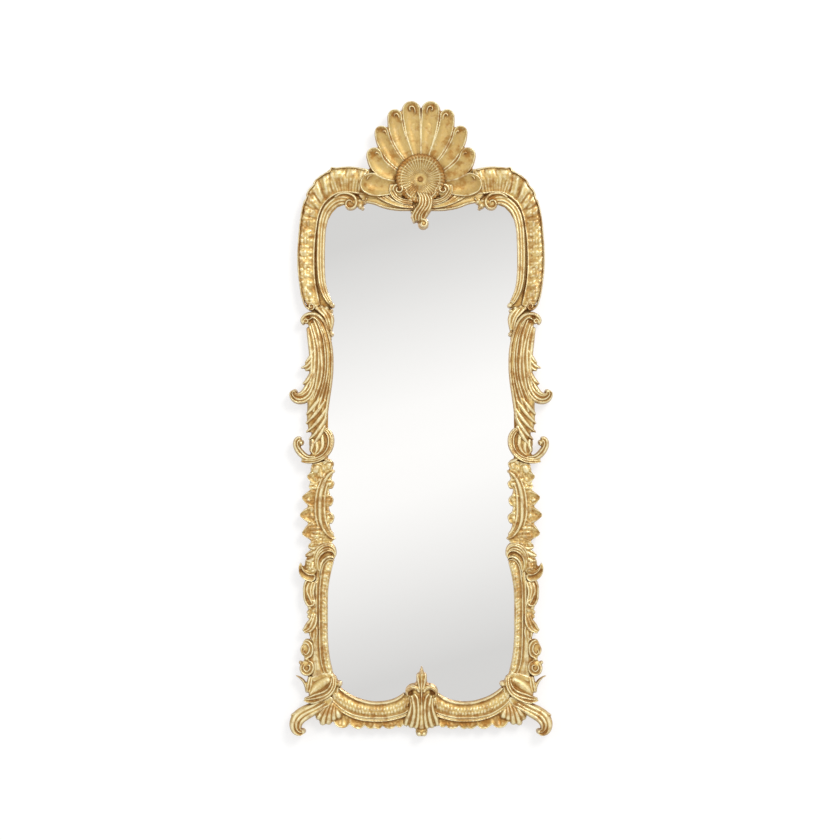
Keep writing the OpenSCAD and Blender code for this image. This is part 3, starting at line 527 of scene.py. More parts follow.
    # Each of these covers what is under it.
    for name, share in (("toned", toned), ("cut", cut), ("bole", deepShade), ("bareTimber", bare)):
        gold = addNode(tree, "Mix", {"data_type": "RGBA", 7: linear(look[name])},
                       {"Factor": share, 6: gold}).outputs[2]
    covered = addNode(tree, "Math", {"operation": "MAXIMUM"}, {0: deepShade, 1: bare}).outputs[0]
    metal = addNode(tree, "MapRange", {"To Min": look["metal"], "To Max": look["bareMetal"]},
                    {"Value": covered}).outputs["Result"]
    sheen = addNode(tree, "MapRange", {"To Min": look["matt"], "To Max": look["burnish"]}, {"Value": wearAndHighlight})
    grit = addNode(tree, "TexNoise", {"Scale": metresToScale(look["grit"]), "Detail": 4.0}, {"Vector": place})
    bump = addNode(tree, "Bump", {"Strength": 0.16, "Distance": 0.0006}, {"Height": grit.outputs["Fac"]})
    join(tree, shader, {"Base Color": gold, "Metallic": metal, "Roughness": sheen.outputs["Result"],
                        "Normal": bump.outputs["Normal"]})
    return material


timberLook = {
    "pale": "#B58E5C",
    "dark": "#7C5733",
    "ringWidth": 0.0032,    # growth rings of pine, a few millimetres apart
    "boardRings": 0.0040,   # and of a sawn board
    "waver": 22.0,          # how often the rings waver, in waves per metre
    "waverReach": 0.055,    # and how far, in metres
    "poreCount": 900.0,     # pores per metre
    "poreDark": 0.45,
}


def timberColour(tree, place, look, alongZ=0.04):
    # Growth rings drawn out along the grain, with a fine pore streak in them.
    stretched = addNode(tree, "Mapping", {"Scale": (1.0, 1.0, alongZ)}, {"Vector": place}).outputs["Vector"]
    drift = addNode(tree, "TexNoise", {"Scale": look["waver"], "Detail": 3.0, "Distortion": 0.4},
                    {"Vector": stretched})
    rings = addNode(tree, "Math", {"operation": "MULTIPLY", 1: look["waverReach"] / look["ringWidth"]},
                    {0: drift.outputs["Fac"]}).outputs[0]
    wave = addNode(tree, "Math", {"operation": "PINGPONG", 1: 1.0}, {0: rings}).outputs[0]
    pores = addNode(tree, "TexNoise", {"Scale": look["poreCount"], "Detail": 2.0},
                    {"Vector": stretched}).outputs["Fac"]
    mixed = addNode(tree, "Math", {"operation": "MULTIPLY_ADD", 1: look["poreDark"]},
                    {0: pores, 2: wave}).outputs[0]
    return addNode(tree, "ValToRGB", {}, {"Fac": mixed},
                   [(0.15, look["pale"]), (1.0, look["dark"])]).outputs["Color"], mixed


def makeCarcass():
    # Pine carcass: its face and edges are gessoed and gilded, its back is planed and left bare and brown.
    look = timberLook
    gold = gildingLook
    material, tree, shader = newMaterial("gildedPine", {"IOR": 1.5})
    place = addNode(tree, "TexCoord").outputs["Object"]
    timber, grain = timberColour(tree, place, look)
    patches = addNode(tree, "TexNoise", {"Scale": metresToScale(gold["mottle"]), "Detail": 5.0},
                      {"Vector": place})
    gilt = addNode(tree, "ValToRGB", {}, {"Fac": patches.outputs["Fac"]},
                   [(0.35, gold["toned"]), (0.75, gold["leaf"])]).outputs["Color"]
    facing = addNode(tree, "NewGeometry").outputs["Normal"]
    facingBack = addNode(tree, "SeparateXYZ", {}, {"Vector": facing}).outputs["Y"]
    bare = addNode(tree, "MapRange", {"From Min": 0.3, "From Max": 0.4},
                   {"Value": facingBack}).outputs["Result"]
    colour = addNode(tree, "Mix", {"data_type": "RGBA"}, {"Factor": bare, 6: gilt, 7: timber}).outputs[2]
    metal = addNode(tree, "MapRange", {"To Min": 0.7, "To Max": 0.0}, {"Value": bare}).outputs["Result"]
    rough = addNode(tree, "MapRange", {"To Min": 0.5, "To Max": 0.7}, {"Value": bare}).outputs["Result"]
    bump = addNode(tree, "Bump", {"Strength": 0.12, "Distance": 0.0005}, {"Height": grain}).outputs["Normal"]
    join(tree, shader, {"Base Color": colour, "Metallic": metal, "Roughness": rough, "Normal": bump})
    return material


boardLooks = {
    "beechDowel": {"pale": "#CDA877", "dark": "#A67C4C", "roughness": 0.55},
    "limeFillet": {"pale": "#C9A878", "dark": "#9B7648", "roughness": 0.65},
    "sawnPineBoard": {"pale": "#A9855A", "dark": "#6E4D2E", "roughness": 0.75},
}


def makeBoard(name, pale, dark, roughness):
    # Sawn timber, bare and dry.
    material, tree, shader = newMaterial(name, {"Roughness": roughness, "IOR": 1.5})
    place = addNode(tree, "TexCoord").outputs["Object"]
    look = dict(timberLook, pale=pale, dark=dark, ringWidth=timberLook["boardRings"])
    timber, grain = timberColour(tree, place, look)
    bump = addNode(tree, "Bump", {"Strength": 0.2, "Distance": 0.0004}, {"Height": grain}).outputs["Normal"]
    join(tree, shader, {"Base Color": timber, "Normal": bump})
    return material


mirrorLook = {
    "silver": "#F9F8F6",
    "haze": 0.3,            # the size of its faint cloudy places, in metres
    "clear": 0.015,
    "hazy": 0.03,
}


def makeMirror():
    # Silvered float glass: the silver on its back gives a clear image, a little darker than the room.
    look = mirrorLook
    material, tree, shader = newMaterial("silveredGlass",
                                         {"Metallic": 1.0, "Base Color": linear(look["silver"])})
    place = addNode(tree, "TexCoord").outputs["Object"]
    haze = addNode(tree, "TexNoise", {"Scale": metresToScale(look["haze"]), "Detail": 2.0}, {"Vector": place})
    rough = addNode(tree, "MapRange", {"To Min": look["clear"], "To Max": look["hazy"]},
                    {"Value": haze.outputs["Fac"]}).outputs["Result"]
    join(tree, shader, {"Roughness": rough})
    return material


grainyLooks = {
    "pressedFelt": {"pale": "#2B2926", "dark": "#141311", "cell": 0.0012, "roughness": 0.95,
                    "bumpHeight": 0.0004},
    "saddleLeather": {"pale": "#7A4A28", "dark": "#4D2C16", "cell": 0.0010, "roughness": 0.6,
                      "bumpHeight": 0.0002},
    "mouldedRubber": {"pale": "#2A2A2B", "dark": "#161617", "cell": 0.0020, "roughness": 0.7,
                      "bumpHeight": 0.0001},
    "rolledBrass": {"pale": "#C9A652", "dark": "#9A7A38", "cell": 0.0015, "roughness": 0.32,
                    "bumpHeight": 0.00005, "metal": 1.0},
}


def makeGrainy(name, pale, dark, cell, roughness, bumpHeight, metal=0.0):
    # A plain stuff with one grain: felt fibres, hide pores, moulded rubber or drawn brass.
    material, tree, shader = newMaterial(name, {"Roughness": roughness, "Metallic": metal})
    place = addNode(tree, "TexCoord").outputs["Object"]
    grain = addNode(tree, "TexNoise", {"Scale": metresToScale(cell), "Detail": 5.0},
                    {"Vector": place}).outputs["Fac"]
    colour = addNode(tree, "ValToRGB", {}, {"Fac": grain}, [(0.3, dark), (0.7, pale)]).outputs["Color"]
    bump = addNode(tree, "Bump", {"Strength": 0.4, "Distance": bumpHeight},
                   {"Height": grain}).outputs["Normal"]
    join(tree, shader, {"Base Color": colour, "Normal": bump})
    return material


gilding = makeGilding()
carcassPine = makeCarcass()
beechDowel, limeFillet, backPine = (makeBoard(name, **look) for name, look in boardLooks.items())
mirrorGlass = makeMirror()
blackFelt, leather, rubber, brass = (makeGrainy(name, **look) for name, look in grainyLooks.items())
print("materials ready")


# Crest: four hollow lobes on each side of the middle, with a small curled tongue in each tip.
shell = {
    "lobes": [
        [(417.8, 160, 4.1, 21, 0), (416.7, 152, 5.4, 23, 0), (414.9, 142, 7.0, 26, 0),
         (412.9, 128, 8.9, 30, 0), (411.7, 116, 9.8, 35, 3), (411.3, 108, 9.8, 39, 8),
         (411.2, 101, 9.6, 42, 14)],
        [(411, 161, 4.3, 20, 0), (407, 154.6, 6.0, 22, 0), (403, 146.6, 7.4, 25, 0), (398.8, 137, 8.2, 29, 0),
         (396, 127, 8.2, 33, 2), (395, 118, 7.8, 37, 7), (395.6, 109.2, 7.6, 40, 12)],
        [(405.4, 169, 4.5, 19, 0), (400, 164.4, 6.0, 21, 0), (393.4, 157.6, 7.1, 24, 0),
         (387.6, 149, 7.7, 28, 0), (383.6, 140.6, 7.8, 32, 2), (381.8, 133, 7.5, 36, 7),
         (381.8, 125.6, 7.2, 39, 12)],
        [(402, 179, 5.0, 18, 0), (393.4, 175.4, 7.0, 20, 0), (385.4, 171.2, 8.5, 24, 0),
         (378.6, 165.4, 9.0, 29, 1), (374.8, 157, 8.5, 34, 6), (373.8, 147.2, 8.2, 38, 11)]],
    "tongues": [
        [(414.8, 114.6, 0.7, 31), (415, 110.6, 1.2, 34), (412.8, 107, 1.4, 36), (410, 107.4, 1.3, 36),
         (409.8, 110.2, 1.2, 35), (411.6, 111.2, 0.9, 34)],
        [(398.8, 120, 0.7, 30), (398.6, 116.4, 1.1, 33), (396.4, 114, 1.3, 35), (394.4, 115.2, 1.2, 35),
         (395.2, 117.4, 0.9, 34)],
        [(386.6, 136, 0.7, 29), (386, 132.8, 1.1, 32), (384, 131.2, 1.2, 33), (382.6, 133, 1.0, 33)],
        [(380, 157, 0.7, 28), (378.6, 153.8, 1.1, 31), (376.4, 152.8, 1.2, 33), (375, 154.6, 1.0, 32)]],
    "pips": [(407.6, 104.6, 1.1, 37), (404.8, 107.6, 0.9, 36), (392.4, 112.6, 1.0, 36),
             (390.6, 115.6, 0.8, 35), (379.2, 128.8, 1.0, 36), (377.8, 131.8, 0.8, 35),
             (371.2, 151.2, 1.0, 35), (370, 154.4, 0.8, 34)],
    "grounds": [
        [(421, 152, 3, 17), (421, 128, 3, 22), (421, 109, 2.4, 27)],
        [(419, 150, 6, 15), (414, 120, 8, 22)], [(409, 150, 6, 15), (400, 124, 7, 22)],
        [(403, 160, 6, 14), (389, 140, 7, 21)], [(398, 170, 6, 13), (381, 157, 7, 20)]],
    "bowl": (3.0, 0.74, 0.34),
}


def hollowed(depth, middle, reach):
    # Sinks a stroke by a depth in millimetres, deepest at a share of its length and within a reach of that.
    def wave(along, u, x, y):
        share = along / along.max()
        return -depth * np.exp(-((share - middle) / reach)**2) * (1 - u**2)
    return wave


def shellFan(clay):
    carveAll(clay, shell["lobes"], profile=scooped, wave=hollowed(*shell["bowl"]))
    carveAll(clay, shell["tongues"])
    knobs(clay, shell["pips"])
    carveAll(clay, shell["grounds"], profile=flat)


rosette = {
    "x": 420.5, "y": 179.0, "radius": 25.2, "flutes": 42, "rim": 40.0, "middle": 14.0, "button": 3.4,
    "cutsPerFlute": 10, "rings": 64,
    "lip": (0.76, 0.9),      # where the lip begins and is full, as shares of the radius
    "step": 0.77,            # a turned step where the lip begins
    "turnedOver": 0.96,      # where the lip turns down
    "lowerEdge": 18,         # how far the lower edge lies back, in millimetres
}


def shellRosette(clay):
    # A fluted dish, turned and then cut flute by flute; its lower edge lies under the pendant leaves.
    look = rosette
    angle = np.linspace(0, 2 * np.pi, look["flutes"] * look["cutsPerFlute"], endpoint=False)[None, :]
    edge = np.linspace(0.05, 1, look["rings"])[:, None]
    dish = look["middle"] + (look["rim"] - look["middle"]) * (0.3 * smoothStep(edge, 0.1, 0.5)
                                                              + 0.7 * smoothStep(edge, 0.4, 0.86))
    flute = 0.5 + 0.5 * np.cos(angle * look["flutes"])
    lip = smoothStep(edge, *look["lip"])
    cut = (1.4 + 1.3 * edge) * (1 - 0.4 * lip) * smoothStep(edge, 0.14, 0.3) * (1 - flute)**(1.6 + 2.4 * lip)
    bead = 0.8 * lip * flute
    step = 1.6 * np.exp(-((edge - look["step"]) / 0.03)**2)
    low = look["lowerEdge"] * smoothStep(edge * np.sin(angle), 0.0, 0.8)
    fall = np.maximum(edge - look["turnedOver"], 0) / (1 - look["turnedOver"])
    height = dish - cut + bead - step - low - 9 * fall**2
    reach = look["radius"] * edge * (1 + 0.03 * (flute - 1) * lip)
    ringSolid(clay, look["x"] + reach * np.cos(angle), look["y"] + reach * np.sin(angle), height)
    volute(clay, look["x"], look["y"], look["button"], look["middle"] + 6, hole=0.3)


sideLobe = {
    "scoop": [(404, 185.6, 3.8, 18), (393.6, 186.8, 7.2, 24), (383, 187, 10.0, 29, 1),
              (374, 185.2, 11.8, 34, 3), (367.4, 181.6, 11.8, 37, 5), (361.6, 177.4, 10.6, 38, 6)],
    "curl": [(372.6, 175.6, 0.9, 29), (368.6, 177, 1.2, 31), (367, 180.6, 1.0, 30)],
    "knobs": [(374.8, 174.4, 1.2, 31), (371, 174, 1.0, 32)],
    "bowl": (9.0, 0.7, 0.3),
}


def sideLobes(clay):
    carve(clay, sideLobe["scoop"], profile=scooped, wave=hollowed(*sideLobe["bowl"]))
    carve(clay, sideLobe["curl"])
    knobs(clay, sideLobe["knobs"])


voluteCurl = {
    "wraps": ([(389.4, 184), (388.6, 191), (392.6, 198.4), (401.6, 203.6), (413, 205.6)],
              [(394.4, 184), (394.4, 190.4), (398.4, 195.4), (405.6, 198.8), (414, 200)]),
    "eye": (398.6, 189.4, 7.0),
    "dome": (28, 8),         # its height in the middle and how far it falls to the edge
    "vanes": [[(403.6, 186, 1.4), (406.6, 190.4, 1.6), (408.6, 196, 1.0)],
              [(404.6, 190.4, 1.2), (408.6, 195.4, 1.4), (412.6, 198.6, 0.9)]],
}


def crestVolute(clay):
    bundle(clay, voluteCurl["wraps"], 3, top=(31, 30, 27, 24), seed=3, taper=(0.7, 0.7))
    carve(clay, spiral(*voluteCurl["eye"], turns=1.4, start=2.6), half=(1.8, 1.6, 1.3), top=(32, 35, 37))
    high, fall = voluteCurl["dome"]
    disc(clay, *voluteCurl["eye"], lambda edge, angle: high - fall * edge**4)
    carveAll(clay, voluteCurl["vanes"], top=(31, 25))


crestStrands = ([(369.4, 190.6), (378, 198.4), (390, 204.4), (404, 207.8), (414, 208.4)],
                [(384, 187.4), (389, 195.6), (397, 201.6), (406, 204.8), (414, 205.6)])


def crestLeaf(clay):
    carve(clay, [(380, 191, 4, 14), (389, 196, 5, 18), (399, 202, 4.4, 19), (410, 206, 3, 17)], profile=flat)
    bundle(clay, crestStrands, 5, top=(17, 23, 24, 19), seed=8, taper=(0.35, 0.7))


apron = {
    "edge": [(361, 201.4, 2.2, 10), (366, 199.8, 2.9, 12), (374, 200.8, 3.2, 14), (385, 204.6, 3.4, 15),
             (398, 207.0, 3.2, 16), (410, 207.2, 3.2, 16), (422, 207.2, 3.2, 16)],
    "field": [(357, 192, 9, 8), (372, 192, 10, 9), (390, 196, 9, 10), (405, 198, 9, 10), (422, 199, 8, 10)],
}


def apronCove(u, edge):
    return (0.72 + 0.28 * smoothStep(u, 0.2, 0.75)) * (1 - edge**8)


def crestApron(clay):
    carve(clay, apron["edge"], profile=apronCove, ends="o|")
    carve(clay, apron["field"], profile=flat, ends="o|")


pendantFall = {
    "strands": ([(414.4, 190.6), (418.6, 196.4), (418.2, 204), (413.4, 210), (410.8, 216), (413.4, 222.4)],
                [(431.2, 193.6), (433.4, 200.6), (431.4, 208), (427.2, 214.4), (424.8, 220.4)]),
    "ground": [(423, 196, 6.5, 20), (421.6, 206, 6.5, 22), (417.6, 215, 4.5, 22), (419.4, 222, 4.6, 22)],
    "tips": [(411.6, 211.6, 1.5, 29), (412, 216.4, 1.6, 29), (414, 221.4, 1.6, 29)],
    "curl": (423.2, 223.8, 5.6),
}


def crestPendant(clay):
    carve(clay, pendantFall["ground"], profile=rounded)
    bundle(clay, pendantFall["strands"], 5, top=(24, 31, 34, 34, 29), seed=14, taper=(0.8, 0.6))
    knobs(clay, pendantFall["tips"])
    knob(clay, *pendantFall["curl"], 31)
    carve(clay, spiral(*pendantFall["curl"], turns=1.2, start=3.9), half=(1.9, 1.8, 1.6), top=(32, 35, 38))


# Shoulders
shoulder = {
    "rim": [(366, 170.4), (358, 168.2), (350, 167.2), (342, 167.6), (335, 168.2), (331.6, 167.6),
            (330, 171.2), (325.6, 173.2), (319.8, 177.2), (315.6, 180.4), (314.2, 184.2), (311.4, 187.4),
            (308.2, 191.6), (307.2, 196.4), (303.4, 205), (300.8, 218), (298.8, 238), (298.0, 252),
            (298.2, 268), (299.8, 283), (302.4, 298), (305.6, 306.2), (310, 310.2)],
    "band": [(368, 184, 14.6, 18), (360, 183, 15.4, 19), (352, 182, 15.4, 19), (344, 181.8, 15.2, 19),
             (336, 183.2, 15.2, 19), (328.5, 187, 14.4, 19), (321, 193.5, 13.2, 18), (315.5, 202, 11.8, 17),
             (311.6, 214, 10.6, 17), (309.4, 228, 10.0, 16), (308, 242, 9.8, 16), (307.4, 258, 9.8, 16),
             (307.8, 272, 9.6, 16), (309.4, 286, 9.2, 16), (312.4, 298, 8.6, 16), (316.4, 307, 6.0, 15)],
    "foldLines": [2, 11.5, 23, 37, 47.5, 58.5, 68, 76, 85, 96, 105, 117, 127, 139, 149, 160, 170],
    "notches": [37.5, 50.5, 61],
    "foldDepths": [5, 5, 7, 8.5, 8, 7, 5.5, 4, 3.5, 3.5, 3, 3.5, 3, 3, 3.5, 3],
    "pleatPitch": 3.2,
    "scroll": (311, 306.4, 4.6),
}


def shoulderRim(clay):
    carve(clay, shoulder["rim"], half=(1.0, 0.8, 0.8, 0.8), top=(22, 23, 22, 21))
    carve(clay, spiral(*shoulder["scroll"], turns=1.2, start=1.9, way=-1), half=(1.0, 1.2, 1.4),
          top=(20, 22, 24))
    knob(clay, *shoulder["scroll"], 17)


def shoulderFrill(clay):
    gathers = drapery(shoulder["foldLines"], shoulder["foldDepths"])
    pleats = folds(shoulder["pleatPitch"], 2.4, 11, 0.9)

    def cove(u, edge):
        # A bead along the inner edge, a rise to the crown of the folds and a soft fall to the rim.
        rise = 0.42 + 0.46 * smoothStep(u, -0.60, 0.35) - 0.36 * (1 - smoothStep(u, -0.80, -0.70))
        rise = rise + 0.20 * np.exp(-((u + 0.64) / 0.06)**2)
        return rise - 0.16 * smoothStep(u, 0.62, 0.95)

    def wave(along, u, x, y):
        # Fine pleats on top, deeper gathers down the side and crushed cloth towards the foot.
        onTop = 1 - smoothStep(along, 30, 42)
        below = smoothStep(along, 62, 84)
        outer = smoothStep(u, -0.3, 0.5)
        twist = 3.2 * u + 1.6 * np.sin(u * 3.1 + along * 0.13)
        bent = along + (1 - onTop) * twist + 0.8 * np.sin(u * 6 + along)
        reach = onTop * smoothStep(u, 0.1, 0.6) + (1 - onTop) * smoothStep(u, -0.75, -0.2)
        cloth = crumple(x, y, 6.0, 3.4, 61, 2) - 1.1
        pits = crumple(x, y, 2.8, 1.5, 64, 1) - 0.4
        gathered = (gathers(bent) - 3.0) * reach * (1 - 0.5 * below)
        pleated = onTop * (pleats(along + 0.5 * u) - 1.2) * (1 - 0.6 * outer)
        crushed = (0.35 + 0.65 * below) * (cloth + pits) * smoothStep(u, -0.8, -0.3)
        return gathered + pleated + crushed
    carve(clay, shoulder["band"], profile=cove, ends="||", wave=wave,
          outline=lambda along, u: np.maximum(u, 0)**3 * sum(
              -0.13 * np.exp(-((along - at) / 1.7)**2) for at in shoulder["notches"]))


upperSide = {
    "moulding": [(351, 200.6, 3.4, 13), (345, 199.2, 5.0, 15), (338, 199.6, 5.6, 16), (331, 204.0, 5.6, 17),
                 (325.5, 211, 5.4, 17), (322.4, 219.5, 5.2, 17), (320.8, 229, 5.0, 17), (320.0, 243, 4.9, 17),
                 (319.7, 256, 4.9, 17), (320.0, 270, 4.8, 17), (321.2, 283, 4.6, 17), (324.0, 293, 4.2, 17),
                 (327.6, 300, 3.6, 17), (330.6, 304.6, 2.6, 17)],
    "curl": [(334, 197.6, 1.2, 19), (341, 193.4, 1.4, 20), (349, 193.6, 1.6, 21), (355, 197.6, 1.7, 22),
             (356.2, 203.4, 1.6, 22), (353, 207.6, 1.4, 21), (348.2, 207.8, 1.3, 21), (345.8, 204, 1.2, 21),
             (347.8, 200.4, 1.1, 22), (351.6, 201, 1.0, 22), (352, 203.8, 0.9, 22)],
    "underCurl": (350.4, 202.6, 6.4, 17),
    "knobs": [(360.6, 205.4, 3.4, 19), (364.2, 201.6, 2.6, 20), (359.6, 200.6, 2.2, 19),
              (366.6, 198.4, 1.8, 18), (362.4, 208, 2.0, 17), (331.8, 305.4, 2.9, 19), (329.4, 302, 1.8, 19)],
}


def upperMoulding(clay):
    def steps(u, edge):
        # A deep quirk outside, then a reed, a fine line, a reed and a lower reed against the glass.
        reeds = [(0.40, 0.27, 1.0), (-0.16, 0.24, 0.97), (-0.76, 0.25, 0.74)]
        rise = sum(high * np.sqrt(np.maximum(1 - ((u - at) / half)**2, 0)) * 0.34 for at, half, high in reeds)
        return (0.30 + 1.6 * rise) * (1 - edge**12)
    carve(clay, upperSide["moulding"], profile=steps, ends="oo")
    carve(clay, upperSide["curl"])
    knob(clay, *upperSide["underCurl"])
    knobs(clay, upperSide["knobs"])


neckStrokes = {
    "leaf": ([(315, 308), (320.6, 314), (325, 322), (328, 331)],
             [(325.6, 306.6), (331.6, 313), (333.2, 322), (332.4, 331)]),
    "lumps": [(316.6, 308.4, 3.0, 17), (321.4, 307, 2.6, 18), (326.6, 308, 2.6, 19), (331, 310.6, 2.2, 19)],
    "ball": (331, 334.2, 2.8, 18),
}


def neckLeaf(clay):
    bundle(clay, neckStrokes["leaf"], 3, top=(16, 21, 21, 18), seed=4)
    knobs(clay, neckStrokes["lumps"])
    knob(clay, *neckStrokes["ball"])


# Brackets: a bundle of reeds that swells and bows outwards under a rolled rim and crosses over at its foot.
bracket = {
    "outer": ([(306.6, 328), (308.4, 341), (309.4, 354), (309.2, 368), (309, 380), (308, 392), (306.6, 404)],
              [(314, 318), (319.4, 331), (322.6, 346), (323.8, 360), (323, 374), (319.8, 387), (314.6, 399)]),
    "inner": ([(314, 318), (319.8, 331), (323.2, 346), (324.6, 360), (324, 374), (321, 387), (315.6, 400),
               (310.6, 411)],
              [(322.4, 318.6), (328, 331), (331.8, 344), (333.2, 357), (333.2, 369), (331.8, 383), (329, 399),
               (325.6, 424)]),
    "crossings": [
        [(322, 396), (315.6, 404), (310, 410.6), (306, 415)],
        [(326, 399), (319, 409), (312, 417.6), (305.6, 424)],
        [(327, 407), (321, 417), (313.4, 426), (305.8, 432.6)],
        [(326.4, 416), (321.6, 425), (315, 434), (308.4, 440)],
        [(325, 425), (321, 433), (316, 441), (311, 446.6)]],
    "ground": [(316, 392, 9.6, 17), (316.2, 406, 9.2, 19), (315.8, 420, 9.2, 20), (316.6, 432, 8, 18)],
    "rim": [(303.8, 325, 1.2, 24), (301.8, 320.4, 1.5, 27), (304.6, 316, 1.8, 30), (310.6, 313.8, 2.0, 30),
            (317, 315, 2.0, 29), (322.6, 320, 1.8, 27), (327, 329, 1.5, 24), (330.6, 340, 1.1, 22)],
    "rimFollower": [(308.6, 320, 0.9, 26), (313, 317.6, 1.2, 27), (318, 321, 1.2, 26), (322.6, 329, 1.0, 24)],
    "scrollEnd": (306.2, 321.4, 3.6),
}


def bracketReeds(clay):
    look = bracket
    carve(clay, look["ground"], profile=flat, ends="||")
    bundle(clay, look["outer"], 4, top=(19, 22, 24, 23, 20), seed=21, taper=(0.8, 0.5))
    bundle(clay, look["inner"], 4, top=(23, 27, 28, 27, 24), seed=22, taper=(0.8, 0.7))
    carveAll(clay, look["crossings"], half=(1.2, 2.8, 2.2, 0.6), top=(24, 27, 25, 20))
    carve(clay, look["rim"])
    carve(clay, look["rimFollower"])
    carve(clay, spiral(*look["scrollEnd"], turns=1.2, start=2.2), half=(1.3, 1.3, 1.1), top=(27, 28, 29))


bracketLeafShape = {
    "blade": ([(309.4, 371), (307.8, 380), (304.8, 388), (300.4, 393), (296.6, 393.6), (295.2, 391.4)],
              [(319, 371), (317.6, 384), (313, 396.6), (305.4, 403.4), (296.8, 403.6), (291.3, 399.8),
               (289.3, 394.4), (290.8, 390), (294, 389)]),
    "spurs": [
        [(314, 349, 1.2, 19), (310.6, 356, 1.7, 21), (307.4, 360.6, 1.4, 23), (304.6, 363, 0.6, 23)],
        [(313.6, 355, 1.3, 19), (310, 362, 1.8, 22), (305.6, 366.4, 1.6, 24), (300.6, 368, 0.6, 24)],
        [(312.6, 362, 1.2, 19), (309, 368.6, 1.6, 21), (304.6, 370.6, 0.8, 21)],
        [(313, 368, 1.6, 20), (310, 376, 2.0, 23), (306, 381.8, 1.8, 25), (302.2, 384.2, 0.7, 25)],
        [(314.4, 364, 1.3, 20), (313, 373, 1.7, 22), (310, 381, 1.5, 23), (306.6, 386, 0.7, 23)]],
    "ball": (294.8, 391.6, 2.8, 36),
}


def bracketLeaf(clay):
    bundle(clay, bracketLeafShape["blade"], 4, top=(19, 23, 29, 33, 35), seed=31, taper=(0.6, 0.8))
    carveAll(clay, bracketLeafShape["spurs"], profile=rounded)
    knob(clay, *bracketLeafShape["ball"])


earScrollShape = {
    "outer": ([(320.6, 429.6), (326, 434), (327.8, 441), (326.2, 448), (321.4, 453.6), (314.4, 456.8),
               (307, 457.8), (301.6, 457.6)],
              [(323.6, 426.4), (331, 430.8), (334.2, 440), (332.6, 449.6), (327, 457.4), (317.6, 462.6),
               (307, 463.6), (300.4, 462.2)]),
    "inner": ([(316, 455.4), (308.4, 454.6), (302.6, 451), (299, 446.4), (298.4, 442.6), (300, 440.6)],
              [(315, 460), (305.6, 459.6), (298, 455.4), (293.8, 447.4), (294.2, 440.2), (298, 436.8),
               (302.2, 437.6)]),
    "middle": ([(311, 438), (309.2, 445), (310, 451), (313.6, 455)],
               [(324.4, 429.6), (325.8, 438), (324.8, 446), (320.6, 452),
                (314.6, 456)]),
    "under": (317, 443, 8.5, 19),
    "ball": (301, 442.6, 3.2, 32),
    "grains": [(299.4, 440.8, 1.4, 33), (302.6, 441.2, 1.3, 33), (301.8, 444.6, 1.3, 33)],
    "foot": [(323, 458, 1.4, 20), (328.4, 461, 1.8, 21), (332.6, 462.6, 1.2, 19)],
}


def earScroll(clay):
    look = earScrollShape
    bundle(clay, look["middle"], 3, top=(18, 22, 23, 21), seed=41, taper=(0.9, 0.8))
    knob(clay, *look["under"])
    bundle(clay, look["outer"], 3, top=(21, 26, 28, 27, 23), seed=42, taper=(0.8, 0.6))
    bundle(clay, look["inner"], 2, top=(26, 29, 32, 32), seed=43, taper=(0.8, 0.8))
    knob(clay, *look["ball"])
    knobs(clay, look["grains"])
    carve(clay, look["foot"])


